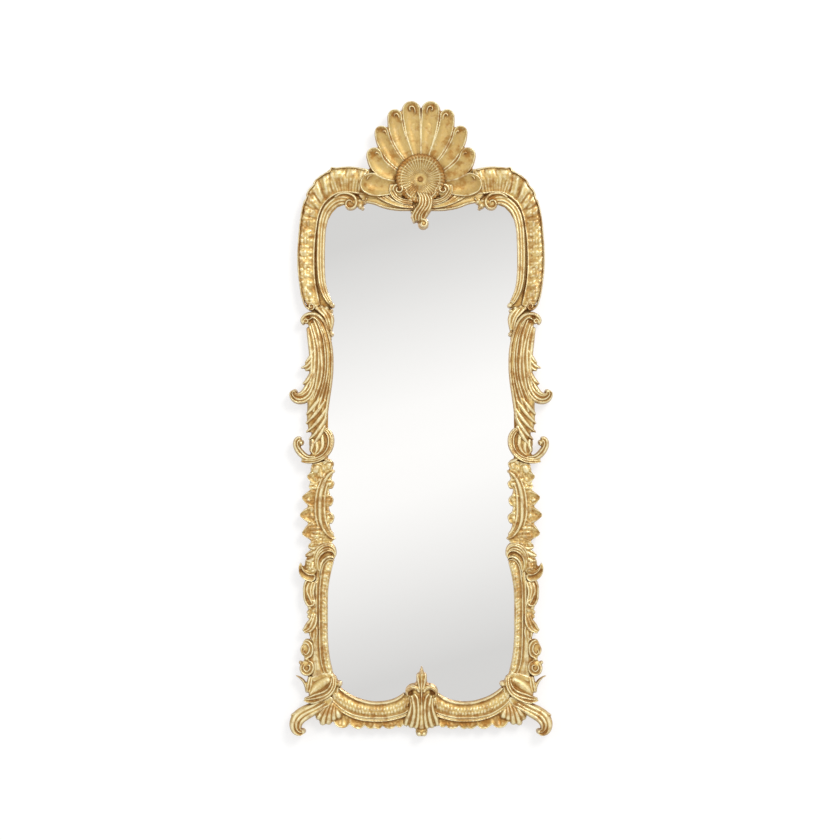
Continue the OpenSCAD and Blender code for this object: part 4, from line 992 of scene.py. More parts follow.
# Rocaille: a shell-like ruffle with pointed lobes on both sides of a bowed double stem.
rocaille = {
    "outer": [(313.5, 462), (312, 466), (310.6, 471), (308.8, 474.6), (309, 478), (310.2, 480.2),
              (309.4, 485), (310.6, 489), (307.4, 492), (306.2, 497.6), (306.4, 501.6), (307.6, 505.6),
              (305.8, 509.6), (304.4, 515), (305, 519.6), (307.6, 523), (306.8, 527.4), (305.4, 533),
              (307, 537.6), (310.6, 541), (310, 545.6), (310.6, 549.6), (309, 554.4), (310, 559)],
    "inner": [(327.6, 459), (331, 462.4), (330.6, 467), (332.2, 470.8), (330.6, 475.4), (331.6, 482),
              (328.6, 489), (330.4, 498.6), (328.6, 507.6), (330.4, 514.6), (329.4, 525), (332, 533),
              (334, 538), (331, 544), (327, 551)],
    "leaves": [
        [(323, 470, 4.0, 14), (317, 467.4, 4.6, 16), (313.4, 466.2, 3.2, 18), (311, 465.3, 0.8, 19)],
        [(320.6, 479.4, 6.0, 14), (313.6, 477.4, 6.2, 17), (309.6, 476.6, 4.0, 20), (306.7, 476.2, 0.8, 22)],
        [(319.4, 488.6, 3.6, 14), (313, 487.2, 3.6, 16), (310, 486.6, 2.4, 18), (308.3, 486.2, 0.8, 18)],
        [(319.4, 499.4, 8.0, 14), (311, 498.6, 8.4, 17), (305.6, 497.8, 5.2, 21), (301.6, 497.3, 0.8, 24)],
        [(318.6, 514.6, 8.2, 14), (309.4, 515, 8.4, 17), (304, 515, 5.4, 21), (299.5, 515, 0.8, 25)],
        [(319.6, 530.6, 8.2, 14), (310.4, 532, 8.4, 17), (305.6, 533, 5.2, 21), (301.6, 533.7, 0.8, 24)],
        [(321, 542.6, 4.0, 14), (314.6, 544.6, 4.4, 16), (310.6, 545.8, 2.8, 18), (307.8, 546.5, 0.8, 19)],
        [(321.6, 552, 5.0, 14), (313.6, 554, 5.4, 17), (308.6, 555.2, 3.4, 19), (304.8, 556, 0.8, 21)]],
    "innerLeaves": [
        [(324, 470, 4.4, 14), (329, 465.4, 5.0, 17), (331.6, 463.8, 3.2, 19), (333.6, 462.6, 0.8, 20)],
        [(326.4, 485.6, 6.4, 12), (330.4, 484, 5.6, 15), (332.4, 483.4, 3.4, 16), (334.2, 482.8, 0.8, 17)],
        [(325, 501.6, 8.0, 12), (329, 500.4, 7.2, 15), (331.4, 499.8, 4.4, 16), (333.3, 499.3, 0.8, 17)],
        [(325.6, 519.6, 7.6, 12), (329.6, 518, 7.0, 16), (332, 517.2, 4.4, 17), (334.2, 516.6, 0.8, 18)]],
    "stems": [
        [(334.6, 470.6, 1.2, 20), (329, 474.4, 1.8, 21), (323.4, 484, 2.3, 22), (320.4, 496, 2.5, 22),
         (319.8, 510, 2.5, 22), (320.6, 521, 2.2, 22), (324.4, 530.6, 1.7, 21), (330, 537, 1.4, 20),
         (335.4, 539.2, 0.8, 19)],
        [(322, 478, 0.8, 17), (317.4, 490, 1.2, 18), (315.4, 503, 1.3, 18), (315.6, 516, 1.3, 18),
         (318.4, 527, 1.0, 17)],
        [(328, 482, 0.8, 17), (325.4, 492, 1.3, 18), (324.5, 504, 1.5, 18), (324.7, 514, 1.5, 18),
         (326.3, 523, 1.2, 18), (329.4, 530, 1.0, 18), (333.6, 535, 0.6, 18)]],
    "stemGround": [(331, 472, 3, 13), (323, 484, 5, 14), (320.4, 500, 5.6, 14), (320.6, 516, 5.4, 14),
                   (325, 530, 4.6, 14), (332, 537, 3, 14)],
    "swelling": [(320, 464, 3.0, 17), (316, 469, 4.4, 20), (314.6, 475, 3.2, 18)],
}


def rocaillePanel(clay):
    look = rocaille

    def ground(along, across, x, y):
        ends = np.minimum(smoothStep(along, 0, 0.02), smoothStep(1 - along, 0, 0.02))
        return (12 + crumple(x, y, 4.0, 4.0, 71)) * (0.6 + 0.4 * ends)

    def crisped(along, u, x, y):
        return crumple(x, y, 4.2, 2.0, 75, 2) - 0.6
    panel(clay, look["outer"], look["inner"], ground)
    carveAll(clay, look["leaves"], profile=scooped, wave=crisped)
    carveAll(clay, look["innerLeaves"], profile=scooped, wave=crisped)
    carve(clay, look["stemGround"], profile=flat)
    carve(clay, look["swelling"])
    carveAll(clay, look["stems"])


# Knee: leaves that arch over the head of the lower moulding and hook outwards.
knee = {
    "arches": ([(313.6, 566), (313.4, 556), (317, 547.4), (324.3, 542.4), (331.6, 543.4), (335.4, 548.4),
                (336, 556)],
               [(319.4, 572), (318.4, 562.6), (320.8, 556), (325, 552.4), (330, 551.6), (333.4, 554),
                (334.2, 558.6)]),
    "head": ([(319, 578), (319.2, 568), (321.4, 560.6), (326, 556.4), (331, 555.4), (335, 557.6)],
             [(320.6, 578), (320.8, 569), (323.4, 562.2), (327.6, 558.6), (331.6, 557.9), (334.4, 559.8)]),
    "sprays": [[(321, 545, 1.6, 23), (314, 548.4, 2.4, 22), (307.6, 547, 0.8, 20)],
               [(317, 550, 1.8, 22), (311, 554.4, 2.6, 22), (304.6, 556, 0.8, 21)],
               [(315.6, 557, 1.8, 21), (310.6, 560.4, 2.4, 22), (305.4, 560.8, 0.8, 20)]],
    "mass": [(312, 556, 5.0, 18), (311.4, 566, 5.6, 21), (312, 576, 5.0, 20)],
    "under": [(321, 572, 2.8, 15), (323, 560, 4.4, 16), (329, 557, 4.4, 16), (333, 558, 3.0, 15)],
    "hook": [(316, 577.4, 4.4, 17), (309, 576.8, 5.0, 20), (303.4, 573.2, 4.4, 23), (300.8, 568.4, 2.6, 25),
             (300.4, 562.8, 0.6, 26)],
    "hookRib": [(315, 575, 1.0, 20), (308, 574, 1.2, 24), (303.6, 570.6, 1.1, 27), (301, 565, 0.7, 28)],
}


def kneeLeaf(clay):
    carve(clay, knee["mass"], profile=rounded, wave=lambda along, u, x, y: crumple(x, y, 3.4, 5.0, 81) - 2.0)
    carve(clay, knee["under"], profile=rounded)
    bundle(clay, knee["arches"], 4, top=(17, 24, 27, 25, 21), seed=61, taper=(0.6, 0.6))
    bundle(clay, knee["head"], 2, top=(16, 20, 22, 18), seed=62, taper=(0.8, 0.7))
    carveAll(clay, knee["sprays"], profile=rounded)
    carve(clay, knee["hook"], profile=scooped)
    carve(clay, knee["hookRib"])


lowerSide = {
    "bed": [(328.4, 560.5, 4.6, 11), (324, 568, 7.0, 12), (321.6, 578, 7.2, 12), (320.4, 590, 7.0, 12),
            (320.2, 605, 7.0, 12), (320.2, 635, 7.0, 12), (321.2, 650, 7.0, 12), (323.6, 663, 6.6, 12),
            (327.8, 673, 5.0, 12), (331, 678, 3.4, 11)],
    "strip": [(330.4, 562, 2.6, 15), (328.2, 567, 3.4, 15.5), (325.8, 578, 3.4, 16), (324.4, 592, 2.8, 16),
              (324.2, 605, 2.7, 16), (324.2, 622, 2.7, 16), (324.4, 638, 2.7, 16), (325.2, 650, 2.8, 16),
              (326.6, 661, 3.1, 16), (328.4, 669.6, 2.9, 16), (330.6, 675.6, 2.0, 16)],
    "chasingPitch": 7.6,
    "outerBead": [(334, 561.4), (331.6, 559.4), (328, 560), (324.4, 563.2), (321.8, 569.6), (320.7, 578),
                  (319.6, 590), (319.3, 605), (319.3, 620), (319.5, 635), (319.9, 648), (320.9, 660),
                  (322.9, 668.6), (326.2, 675.4), (329.4, 678)],
    "innerEdge": [(333, 562.5), (331.2, 569), (329.4, 577), (327.6, 588), (327, 600), (327, 620), (327, 637),
                  (327.9, 650), (329.6, 662), (332, 672)],
    "fillet": [(316.6, 581, 1.2, 14), (316.2, 605, 1.4, 14), (316.2, 630, 1.4, 14), (316.6, 650, 1.5, 14),
               (317.4, 664, 2.4, 15), (319.6, 672, 4.2, 15), (322, 680, 5.2, 15)],
}


def lowerMoulding(clay):
    look = lowerSide
    pitch = look["chasingPitch"]
    carve(clay, look["bed"], profile=flat, ends="||")

    def chased(along, u, x, y):
        # Small curls in a row, each with a leaf between it and the next.
        turn = 2 * np.pi * (along / pitch + 0.05 * u)
        curl = np.maximum(np.cos(turn), -0.3) * (0.6 - 0.4 * u**2) + 0.3 * np.cos(2 * turn + 2.4 * u)
        return curl + crumple(x, y, 2.2, 1.7, 87, 2) - 0.9
    carve(clay, look["strip"], profile=flat, wave=chased)
    carve(clay, look["outerBead"], half=(0.7, 0.9, 0.9, 0.8), top=(16, 18, 18, 16))
    carve(clay, look["innerEdge"], half=0.5, top=13)
    carve(clay, look["fillet"], profile=rounded)


garland = {
    "edge": [(312, 580, 1.2, 18), (307, 580.6, 1.3, 19), (304.6, 585.6, 1.2, 20), (304.2, 594, 1.2, 20),
             (305.4, 601, 1.3, 20), (309, 605.8, 1.4, 20), (313.4, 604.6, 1.2, 19), (313.6, 601, 1.0, 18),
             (311, 600.6, 0.8, 18)],
    "field": ([(307.6, 583), (305.8, 590), (308, 598), (312, 605)],
              [(317.6, 579), (314.4, 590), (316, 600), (317.6, 610)]),
    "buds": [(309.6, 608, 2.4, 18), (313.6, 610.6, 2.4, 17), (308.4, 612.6, 2.2, 19), (312, 615.4, 2.6, 18),
             (308.6, 617, 2.0, 17), (315, 618, 2.2, 16)],
    "leaf": ([(311, 613), (309, 619.6), (305, 625.4), (301.2, 629.4)],
             [(318, 613), (316.6, 624), (312.4, 631.6), (305, 634.8)]),
    "tail": ([(309.6, 629), (309.6, 636), (312.4, 642)], [(318, 622), (318, 634), (316.4, 646)]),
    "bar": [(315.2, 630, 1.6, 13), (314.6, 645, 2.6, 14), (314.6, 660, 3.0, 14), (315, 672, 3.6, 14),
            (315, 680, 3.6, 14)],
}


def sideGarland(clay):
    bundle(clay, garland["field"], 3, top=(14, 18, 16), seed=71, taper=(0.5, 0.6))
    carve(clay, garland["edge"])
    knobs(clay, garland["buds"])
    bundle(clay, garland["leaf"], 3, top=(17, 21, 22, 20), seed=72, taper=(0.8, 0.4))
    bundle(clay, garland["tail"], 3, top=(15, 18, 15), seed=73, taper=(0.8, 0.4))
    carve(clay, garland["bar"])


roseShape = {
    "upper": (307.2, 648.9, 5.6, 1.8, 20),
    "lower": (306.8, 667.6, 7.0, 1.08, 19),
    "petals": [
        [(304.6, 639.8, 0.8, 19), (309.4, 641.4, 1.2, 22), (312.3, 646, 1.5, 23), (312.4, 651.6, 1.5, 23),
         (310.2, 656.4, 1.2, 22), (306, 658, 0.9, 20)],
        [(302.8, 643.4, 0.8, 20), (306.6, 643.4, 1.1, 23), (309, 646.8, 1.2, 24), (308.8, 651.6, 1.2, 24),
         (305.8, 654.4, 1.0, 23), (303.2, 652, 0.9, 22), (304.6, 648.8, 0.8, 23)],
        [(302.2, 645.6, 0.8, 18), (301.2, 650.4, 1.0, 19), (303, 655.6, 0.9, 19)],
        [(303.4, 662.6, 0.9, 20), (300.8, 667.6, 1.3, 21), (302.4, 673, 1.4, 22), (307, 675, 1.4, 22),
         (311.6, 672.4, 1.4, 23), (313.3, 667, 1.4, 23), (311.4, 662.2, 1.2, 22), (308, 660.8, 0.9, 21)],
        [(304.6, 664.6, 0.9, 22), (303.6, 668.8, 1.1, 24), (306.8, 671.4, 1.1, 24), (309.8, 668.6, 1.1, 25),
         (308.8, 665, 1.0, 25), (306.4, 666, 0.9, 25)]],
    "buds": [(306.4, 659, 2.6, 23), (300.4, 662.8, 2.0, 21)],
    "ground": [(311.6, 638, 2.4, 12), (312.4, 648, 3.4, 12), (312, 660, 3.4, 12), (312.4, 672, 3.4, 12)],
}


def rosePair(clay):
    # Each rose is a few petals rolled round one another over a low dome.
    for name in ("upper", "lower"):
        x, y, radius, squash, top = roseShape[name]
        disc(clay, x, y, radius, lambda edge, angle, top=top: top * (0.6 + 0.4 * np.sqrt(1 - edge**2)),
             squash=squash)
    carve(clay, roseShape["ground"], profile=flat)
    carveAll(clay, roseShape["petals"])
    knobs(clay, roseShape["buds"])


corner = {
    "wraps": ([(331.8, 676), (329, 684), (321.6, 690.8), (312, 694.4), (304.4, 697.4)],
              [(336.4, 676.6), (336.2, 687), (331.6, 696.4), (321, 702), (311, 704), (302.6, 701.4)]),
    "broad": [(332, 678.4, 3.6, 21), (326, 681.6, 4.8, 23), (318.8, 686.6, 5.4, 23), (312.6, 692.4, 3.6, 21),
              (309.6, 696, 1.4, 19)],
    "side": ([(307.6, 675), (307.2, 684), (306, 692.6)], [(314.4, 676), (312.6, 684), (309.4, 693)]),
    "horn": [(307, 693.6, 2.0, 20), (305.8, 686.6, 1.9, 24), (302.4, 680.4, 1.6, 26), (299, 677.6, 1.1, 25),
             (295.4, 676, 0.5, 23)],
    "bead": (339.2, 684.4, 3.2, 22),
    "neck": [(334.4, 678, 1.4, 19), (335.6, 684, 1.3, 19), (334.8, 690, 1.6, 18), (332.4, 697, 2.4, 18)],
    "ground": [(311, 680, 3.6, 14), (318, 677.6, 3.8, 15), (325, 675.6, 3.4, 15), (331, 676, 2.6, 15),
               (335.4, 682, 2.6, 14), (336.4, 690, 2.8, 14), (334, 697, 3.0, 15)],
}


def cornerLeaf(clay):
    look = corner
    carve(clay, look["ground"], profile=flat)
    carve(clay, look["broad"])
    bundle(clay, look["side"], 2, top=(15, 18, 19), seed=81)
    bundle(clay, look["wraps"], 3, top=(20, 27, 29, 27, 22), seed=82, taper=(0.5, 0.3))
    carve(clay, look["horn"], profile=ridged)
    carve(clay, look["neck"])
    knob(clay, *look["bead"])


foot = {
    "scroll": ([(321, 699.6), (311, 704.4), (300.4, 709.4), (293, 714.8), (290.1, 722), (290.8, 729.6),
                (295.4, 735), (301.4, 735.6), (305.4, 732.6)],
               [(332, 705.6), (320.6, 712), (311, 716), (304, 719.6), (300.8, 724), (300.8, 728.2),
                (302.6, 730), (304, 729.4)]),
    "tip": [(307, 706.8, 1.6, 27), (299, 710.6, 1.6, 30), (290.2, 715.8, 0.5, 30)],
    "ball": (303, 731.4, 3.0, 34),
    "heel": [(333, 697, 3.6, 16), (326, 703, 4.8, 17), (316, 708, 4.0, 18)],
}


def footScroll(clay):
    carve(clay, foot["heel"], profile=flat)
    bundle(clay, foot["scroll"], 3, top=(20, 26, 31, 34, 34, 33), seed=91, taper=(0.7, 0.6))
    carve(clay, foot["tip"], profile=ridged)
    knob(clay, *foot["ball"])


# Base
base = {
    "sightBead": [(338.4, 687.6, 1.0, 15), (341.6, 690.8, 1.1, 16), (345.4, 693.8, 1.2, 16),
                  (350.5, 697, 1.2, 16), (357, 700, 1.3, 16), (363.3, 702, 1.3, 16), (369.6, 703.5, 1.4, 16),
                  (376, 704, 1.4, 16), (382.4, 703.7, 1.4, 16), (388.8, 702.7, 1.4, 16),
                  (393.6, 701.2, 1.3, 16), (398.3, 699, 1.3, 16), (401.6, 696.8, 1.2, 16),
                  (405, 693.8, 1.0, 16)],
    "bandTop": [(334.6, 689), (342, 695.4), (350, 700), (358, 703.6), (368, 706), (378, 706.4), (388, 705.4),
                (396, 702.4), (403, 697.8), (409, 692.4)],
    "bandFoot": [(331.6, 698), (336.4, 702.6), (341.6, 706.8), (351, 711.8), (362, 715.2), (375, 716.6),
                 (387, 716.2), (397, 713.6), (405.6, 709.6), (411, 705)],
    "lowerBead": [(331, 699.4), (336, 704.2), (341.4, 708.6), (350.4, 713.8), (362, 717), (375, 718),
                  (387, 717.6), (397, 715.4), (405.4, 712.6), (411, 708)],
    "pearls": [(331, 703), (336, 707.4), (341.4, 711.6), (350.6, 716.8), (362, 720.3), (375, 721.4),
               (387, 721), (397, 718.8), (405.4, 716), (411, 711)],
    "scalePitch": 3.2,
    "bandHeight": 10,
    "bandSwell": 5,
    "frillHeight": 7,
    "frillTurn": 5,          # how far its hem turns outwards
    "frillTop": [(334, 703), (341, 710), (351, 715.4), (362, 719), (375, 720.2), (387, 719.8), (397, 717.6),
                 (407, 713)],
    "hem": [(334, 722), (337, 726.2), (342.2, 728), (346.6, 726.8), (349.4, 724.2), (353, 727), (358, 729),
            (362, 727.8), (364.6, 725.4), (367.6, 727.8), (371, 729), (374.6, 728), (378, 729), (381, 727.6),
            (382.4, 725.8), (385.6, 727.8), (390.6, 728.8), (394, 727.4), (395.8, 725.4), (397.6, 727),
            (400, 727.4), (403.4, 724.8), (407, 727)],
    "valleys": [330, 349.4, 364.6, 382.2, 395.8, 403.4, 412],
    "curls": [4.5, 5, 5, 5, 4, 4],
    "fan": [[(326.6, 701), (319.4, 709), (312.6, 715)], [(328, 702), (321.6, 712.6), (316.8, 720.4)],
            [(330, 703), (325, 715), (321.6, 726)], [(332.4, 704), (329.4, 715), (328, 725.6)],
            [(334.4, 706), (333.6, 714), (334, 721.6)], [(336.6, 708), (337.8, 714), (339.6, 719.6)]],
}


def baseMoulding(clay):
    pitch = base["scalePitch"]
    carve(clay, base["sightBead"])

    def height(along, across, x, y):
        # A hollow band filled with two rows of small scales.
        arch = np.sin(np.pi * np.clip(across * 0.9 + 0.05, 0, 1))**0.8
        swell = base["bandHeight"] + base["bandSwell"] * arch
        upper = np.abs(np.sin(np.pi * (x / pitch + 0.5))) * np.exp(-((across - 0.34) / 0.16)**2)
        lower = np.abs(np.sin(np.pi * x / pitch))**0.8 * np.exp(-((across - 0.74) / 0.17)**2)
        return swell + 1.4 * upper + 2.2 * lower + crumple(x, y, 2.4, 1.1, 91, 1) - 0.5
    panel(clay, base["bandTop"], base["bandFoot"], height, fineness=0.45)
    carve(clay, base["lowerBead"], half=(0.9, 1.3, 1.3, 0.9), top=(16, 18, 18, 16))


def baseFrill(clay):
    curls = drapery(base["valleys"], base["curls"])

    def height(along, across, x, y):
        # A ruffle whose hem turns outwards, in a few broad curls.
        curl = 0.7 * curls(x) * smoothStep(across, 0.4, 0.95)
        hem = base["frillTurn"] * across**6
        return base["frillHeight"] + curl + hem + crumple(x, y, 3.4, 2.6, 94, 1) - 1.0
    panel(clay, base["frillTop"], base["hem"], height, fineness=0.45)
    carve(clay, [(x, y - 1, 2.2, 13) for x, y in base["pearls"]], profile=flat)
    carve(clay, base["pearls"], half=0.9, top=15,
          wave=lambda along, u, x, y: 1.6 * np.abs(np.sin(along * 1.05)) - 1.2)
    carve(clay, base["hem"], half=0.6, top=14)
    carveAll(clay, base["fan"], half=(1.2, 3.0, 2.6), top=(16, 21, 19))


palmette = {
    "middleLeaf": [(421.6, 667, 0.5, 22), (421.6, 671, 1.5, 25), (421.6, 675, 2.6, 27),
                   (421.6, 680.6, 4.4, 28), (421.6, 686, 3.2, 30), (421.6, 692, 2.2, 30)],
    "leafEdge": [(420.2, 690, 1.0, 32), (418.9, 684.4, 1.5, 31), (418.2, 679, 1.5, 30),
                 (417.9, 675.4, 1.1, 28), (419.1, 673.7, 0.7, 26)],
    "stem": [(421.6, 674, 0.6, 30), (421.6, 684, 1.1, 33), (421.6, 696, 1.1, 33), (421.6, 705, 0.8, 31)],
    "tongue": [(421.6, 696, 2.2, 27), (421.6, 706, 3.0, 28), (421.6, 716, 3.4, 27), (421.6, 724, 3.6, 24),
               (421.6, 731, 3.0, 19)],
    "drop": [(419.8, 693, 1.6, 30), (417.6, 688.6, 2.6, 32), (413.4, 687, 3.0, 33), (409.4, 688.6, 2.7, 32),
             (407, 692, 2.1, 30), (407.8, 696.8, 1.3, 27)],
    "flutes": [
        [(413.2, 692.6, 1.2, 28), (416.8, 696.8, 1.9, 30), (418.2, 704, 2.1, 31), (418.4, 713, 2.3, 30),
         (417.4, 722, 2.6, 27), (415.8, 729.8, 2.2, 22)],
        [(411.4, 694, 1.4, 28), (413.4, 702, 2.2, 30), (414.4, 711, 2.5, 31), (412.8, 721, 2.8, 28),
         (410.4, 728.8, 2.3, 22)],
        [(410.2, 697.4, 1.2, 25), (411, 706, 1.8, 27), (409.2, 714, 2.3, 28), (406.6, 721, 2.5, 26),
         (405.2, 726.8, 1.8, 21)]],
    "ground": [(421.5, 680, 4, 22), (421.5, 687, 9, 24), (421.5, 694, 11, 24), (421.5, 704, 9.5, 23),
               (421.5, 714, 12, 22), (421.5, 724, 14.5, 19)],
    "foot": [[(421.6, 727, 4.4, 17), (421.6, 732, 5.0, 19), (421.6, 737, 3.6, 20)],
             [(418.6, 730.6, 1.6, 22), (419.2, 733.8, 2.6, 26), (419.8, 737, 2.0, 24)],
             [(424.6, 730.6, 1.6, 22), (424, 733.8, 2.6, 26), (423.4, 737, 2.0, 24)]],
}


def basePalmette(clay):
    look = palmette
    carve(clay, look["ground"], profile=flat)
    carve(clay, look["middleLeaf"])
    carve(clay, look["stem"])
    carve(clay, look["tongue"])
    middle = look["stem"][0][0]
    for side in (1, -1):
        # The leaves of one half, turned over for the other.
        def turned(rows, side=side):
            return [(middle + side * (row[0] - middle), *row[1:]) for row in rows]
        carve(clay, turned(look["leafEdge"]))
        carve(clay, turned(look["drop"]), profile=reeded(3, 0.22))
        for rows in look["flutes"]:
            carve(clay, turned(rows))
    carveAll(clay, look["foot"])


# From clay to a finished piece
def applied(piece):
    # The piece as its modifiers make it, with none left on it.
    seen = piece.evaluated_get(bpy.context.evaluated_depsgraph_get())
    rough = piece.data
    piece.data = bpy.data.meshes.new_from_object(seen)
    piece.data.name = piece.name
    piece.modifiers.clear()
    bpy.data.meshes.remove(rough)


def meshFrom(name, spots, faces):
    mesh = bpy.data.meshes.new(name)
    mesh.vertices.add(len(spots))
    mesh.vertices.foreach_set("co", np.ascontiguousarray(spots, np.float32).ravel())
    mesh.loops.add(faces.size)
    mesh.loops.foreach_set("vertex_index", np.ascontiguousarray(faces, np.int32).ravel())
    mesh.polygons.add(len(faces))
    mesh.polygons.foreach_set("loop_start", np.arange(0, faces.size, 4, dtype=np.int32))
    mesh.update(calc_edges=True)
    return mesh


def addPiece(name, spots, faces):
    piece = bpy.data.objects.new(name, meshFrom(name, np.array(spots), np.array(faces)))
    bpy.context.collection.objects.link(piece)
    return piece


marks = {"cutReach": 0.0042, "hollowReach": 0.0130}    # how far round a point is looked at, in metres
# How much more toning and painted shade some carvings get, as if they lay this many millimetres deeper: on
# the base frill it paints the shadow under the moulding, and the rosette gets less.
extraToningAndShade = {"base_frill": 1.3, "shoulder_frill": 0.7, "shell_rosette": -0.8}


def markHollows(mesh, extra):
    # How far each point lies below its surroundings, in millimetres: within a cut and within a hollow.
    # The mesh is levelled out turn by turn, and what a point has moved by is its depth.
    count = len(mesh.vertices)
    spots = np.empty(count * 3, np.float32)
    normals = np.empty(count * 3, np.float32)
    ends = np.empty(len(mesh.edges) * 2, np.int32)
    mesh.vertices.foreach_get("co", spots)
    mesh.vertices.foreach_get("normal", normals)
    mesh.edges.foreach_get("vertices", ends)
    spots = spots.reshape(-1, 3).astype(float)
    normals = normals.reshape(-1, 3)
    first, second = ends[0::2], ends[1::2]
    share = np.bincount(ends, minlength=count)[:, None]
    level = spots
    near = round((marks["cutReach"] / bench["voxel"])**2)
    far = round((marks["hollowReach"] / bench["voxel"])**2)
    for number in range(1, far + 1):
        sums = [np.bincount(first, level[second, k], count) + np.bincount(second, level[first, k], count)
                for k in range(3)]
        level = np.stack(sums, -1) / share
        if number in (near, far):
            depth = ((level - spots) * normals).sum(1) * 1000 + (extra if number == far else 0)
            mark = mesh.attributes.new("crease" if number == near else "hollow", "FLOAT", "POINT")
            mark.data.foreach_set("value", depth.astype(np.float32))


handWork = bpy.data.textures.new("handWork", "CLOUDS")
handWork.noise_scale = bench["handWander"]
handWork.noise_depth = 2


def makeCarving(name, node, clay, side):
    # The strokes of one carving become one lump of gesso, unevenly cut, sanded and gilded.
    spots = np.concatenate(clay["spots"])
    faces = np.concatenate(clay["faces"])
    flipped = spots * (-1, 1, 1)
    if side == "right":
        spots, faces = flipped, faces[:, ::-1]
    if side == "both":
        faces = np.concatenate([faces, faces[:, ::-1] + len(spots)])
        spots = np.concatenate([spots, flipped])
    piece = addPiece(name, spots, faces)
    if node not in turnedWork:
        lump = piece.modifiers.new("lump", "REMESH")
        lump.mode = "VOXEL"
        lump.voxel_size = bench["voxel"]
    uneven = piece.modifiers.new("uneven", "DISPLACE")
    uneven.texture = handWork
    uneven.strength = bench["handShake"]
    sanded = piece.modifiers.new("sanded", "SMOOTH")
    sanded.iterations = bench["sandings"]
    sanded.factor = bench["sandingForce"]
    applied(piece)
    piece.data.shade_smooth()
    markHollows(piece.data, extraToningAndShade.get(node, extraToningAndShade.get(node.split("_", 1)[1], 0)))
    piece.data.materials.append(gilding)
    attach(piece, "frame")
    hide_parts(node)
    return piece


carvings = [
    ("shell_fan", shellFan, "both"), ("shell_rosette", shellRosette, "left"),
    ("crest_apron", crestApron, "both"), ("crest_pendant", crestPendant, "left"),
    ("base_palmette", basePalmette, "left")]
pairs = [
    ("side_lobe", sideLobes), ("crest_volute", crestVolute), ("crest_leaf", crestLeaf),
    ("shoulder_rim", shoulderRim), ("shoulder_frill", shoulderFrill), ("upper_moulding", upperMoulding),
    ("neck_leaf", neckLeaf), ("bracket", bracketReeds), ("bracket_leaf", bracketLeaf),
    ("ear_scroll", earScroll), ("rocaille_panel", rocaillePanel), ("knee_leaf", kneeLeaf),
    ("lower_moulding", lowerMoulding), ("side_garland", sideGarland), ("roses", rosePair),
    ("corner_leaf", cornerLeaf), ("foot_scroll", footScroll), ("base_moulding", baseMoulding),
    ("base_frill", baseFrill)]
for side in ("left", "right"):
    carvings += [(side + "_" + node, shape, side) for node, shape in pairs]


openwork = ("shell_rosette", "crest_apron", "left_shoulder_rim", "right_shoulder_rim")
turnedWork = ("shell_rosette",)      # its flutes are finer than the voxels


def camel(words):
    first, *rest = words.split("_")
    return first + "".join(word.capitalize() for word in rest)


pointCount = 0
for node, shape, side in carvings:
    clay = freshClay()
    shape(clay)
    if node not in openwork:
        layBed(clay)
    piece = makeCarving(camel(node) + "Carving", node, clay, side)
    pointCount += len(piece.data.vertices)
print("carvings gilded, " + str(pointCount) + " points")


# Back of the frame
backing = {"planks": 5, "groove": 0.0012, "easing": 0.0008, "tongue": 0.0020, "tongueDepth": 0.0015,
           "tongueCover": 0.0005}


def boxSpots(low, high):
    return [(x, y, z) for x in (low[0], high[0]) for y in (low[1], high[1]) for z in (low[2], high[2])]


boxFaces = [(0, 1, 3, 2), (4, 6, 7, 5), (0, 4, 5, 1), (2, 3, 7, 6), (0, 2, 6, 4), (1, 5, 7, 3)]


def makeBacking():
    # Planks with eased edges and a groove between them; a tongue in each joint keeps out the light.
    look = backing
    low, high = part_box("backing_board")
    pitch = (high[0] - low[0]) / look["planks"]
    boxes = []
    for number in range(look["planks"]):
        left = low[0] + number * pitch + (look["groove"] / 2 if number else 0)
        right = low[0] + (number + 1) * pitch - (look["groove"] / 2 if number < look["planks"] - 1 else 0)
        boxes.append(((left, low[1], low[2]), (right, high[1], high[2])))
        if number:
            tongue = look["tongue"]
            joint = low[0] + number * pitch
            boxes.append(((joint - tongue, low[1] + look["tongueCover"], low[2] + tongue),
                          (joint + tongue, high[1] - look["tongueDepth"], high[2] - tongue)))
    spots = [spot for box in boxes for spot in boxSpots(*box)]
    faces = [[8 * number + k for k in face] for number in range(len(boxes)) for face in boxFaces]
    piece = addPiece("backingPlanks", spots, faces)
    eased = piece.modifiers.new("eased", "BEVEL")
    eased.width = look["easing"]
    eased.segments = 2
    applied(piece)
    piece.data.materials.append(backPine)
    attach(piece, "frame")
    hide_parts("backing_board")


def looseParts(mesh):
    # The middle and the size of each separate solid in a CAD node.
    parent = list(range(len(mesh.vertices)))

    def root(number):
        while parent[number] != number:
            parent[number] = parent[parent[number]]
            number = parent[number]
        return number
    for edge in mesh.edges:
        parent[root(edge.vertices[0])] = root(edge.vertices[1])
    groups = {}
    for vertex in mesh.vertices:
        groups.setdefault(root(vertex.index), []).append(tuple(vertex.co))
    return [(np.min(group, axis=0), np.max(group, axis=0)) for group in groups.values()]


screwLook = {
    "slotWidth": 0.0011, "slotDepth": 0.0009, "dome": 0.0010, "raised": 0.0009, "around": 28,
    # From the shank to the middle of the head: share of its radius, and depth below its top in domes.
    "rings": [(0.42, 1.6), (1.0, 1.6), (1.0, 1.2), (0.9, 0.5), (0.6, 0), (0.3, 0), (0.04, 0)],
    "slotEnd": 0.95, "slotBelow": 0.6,
}


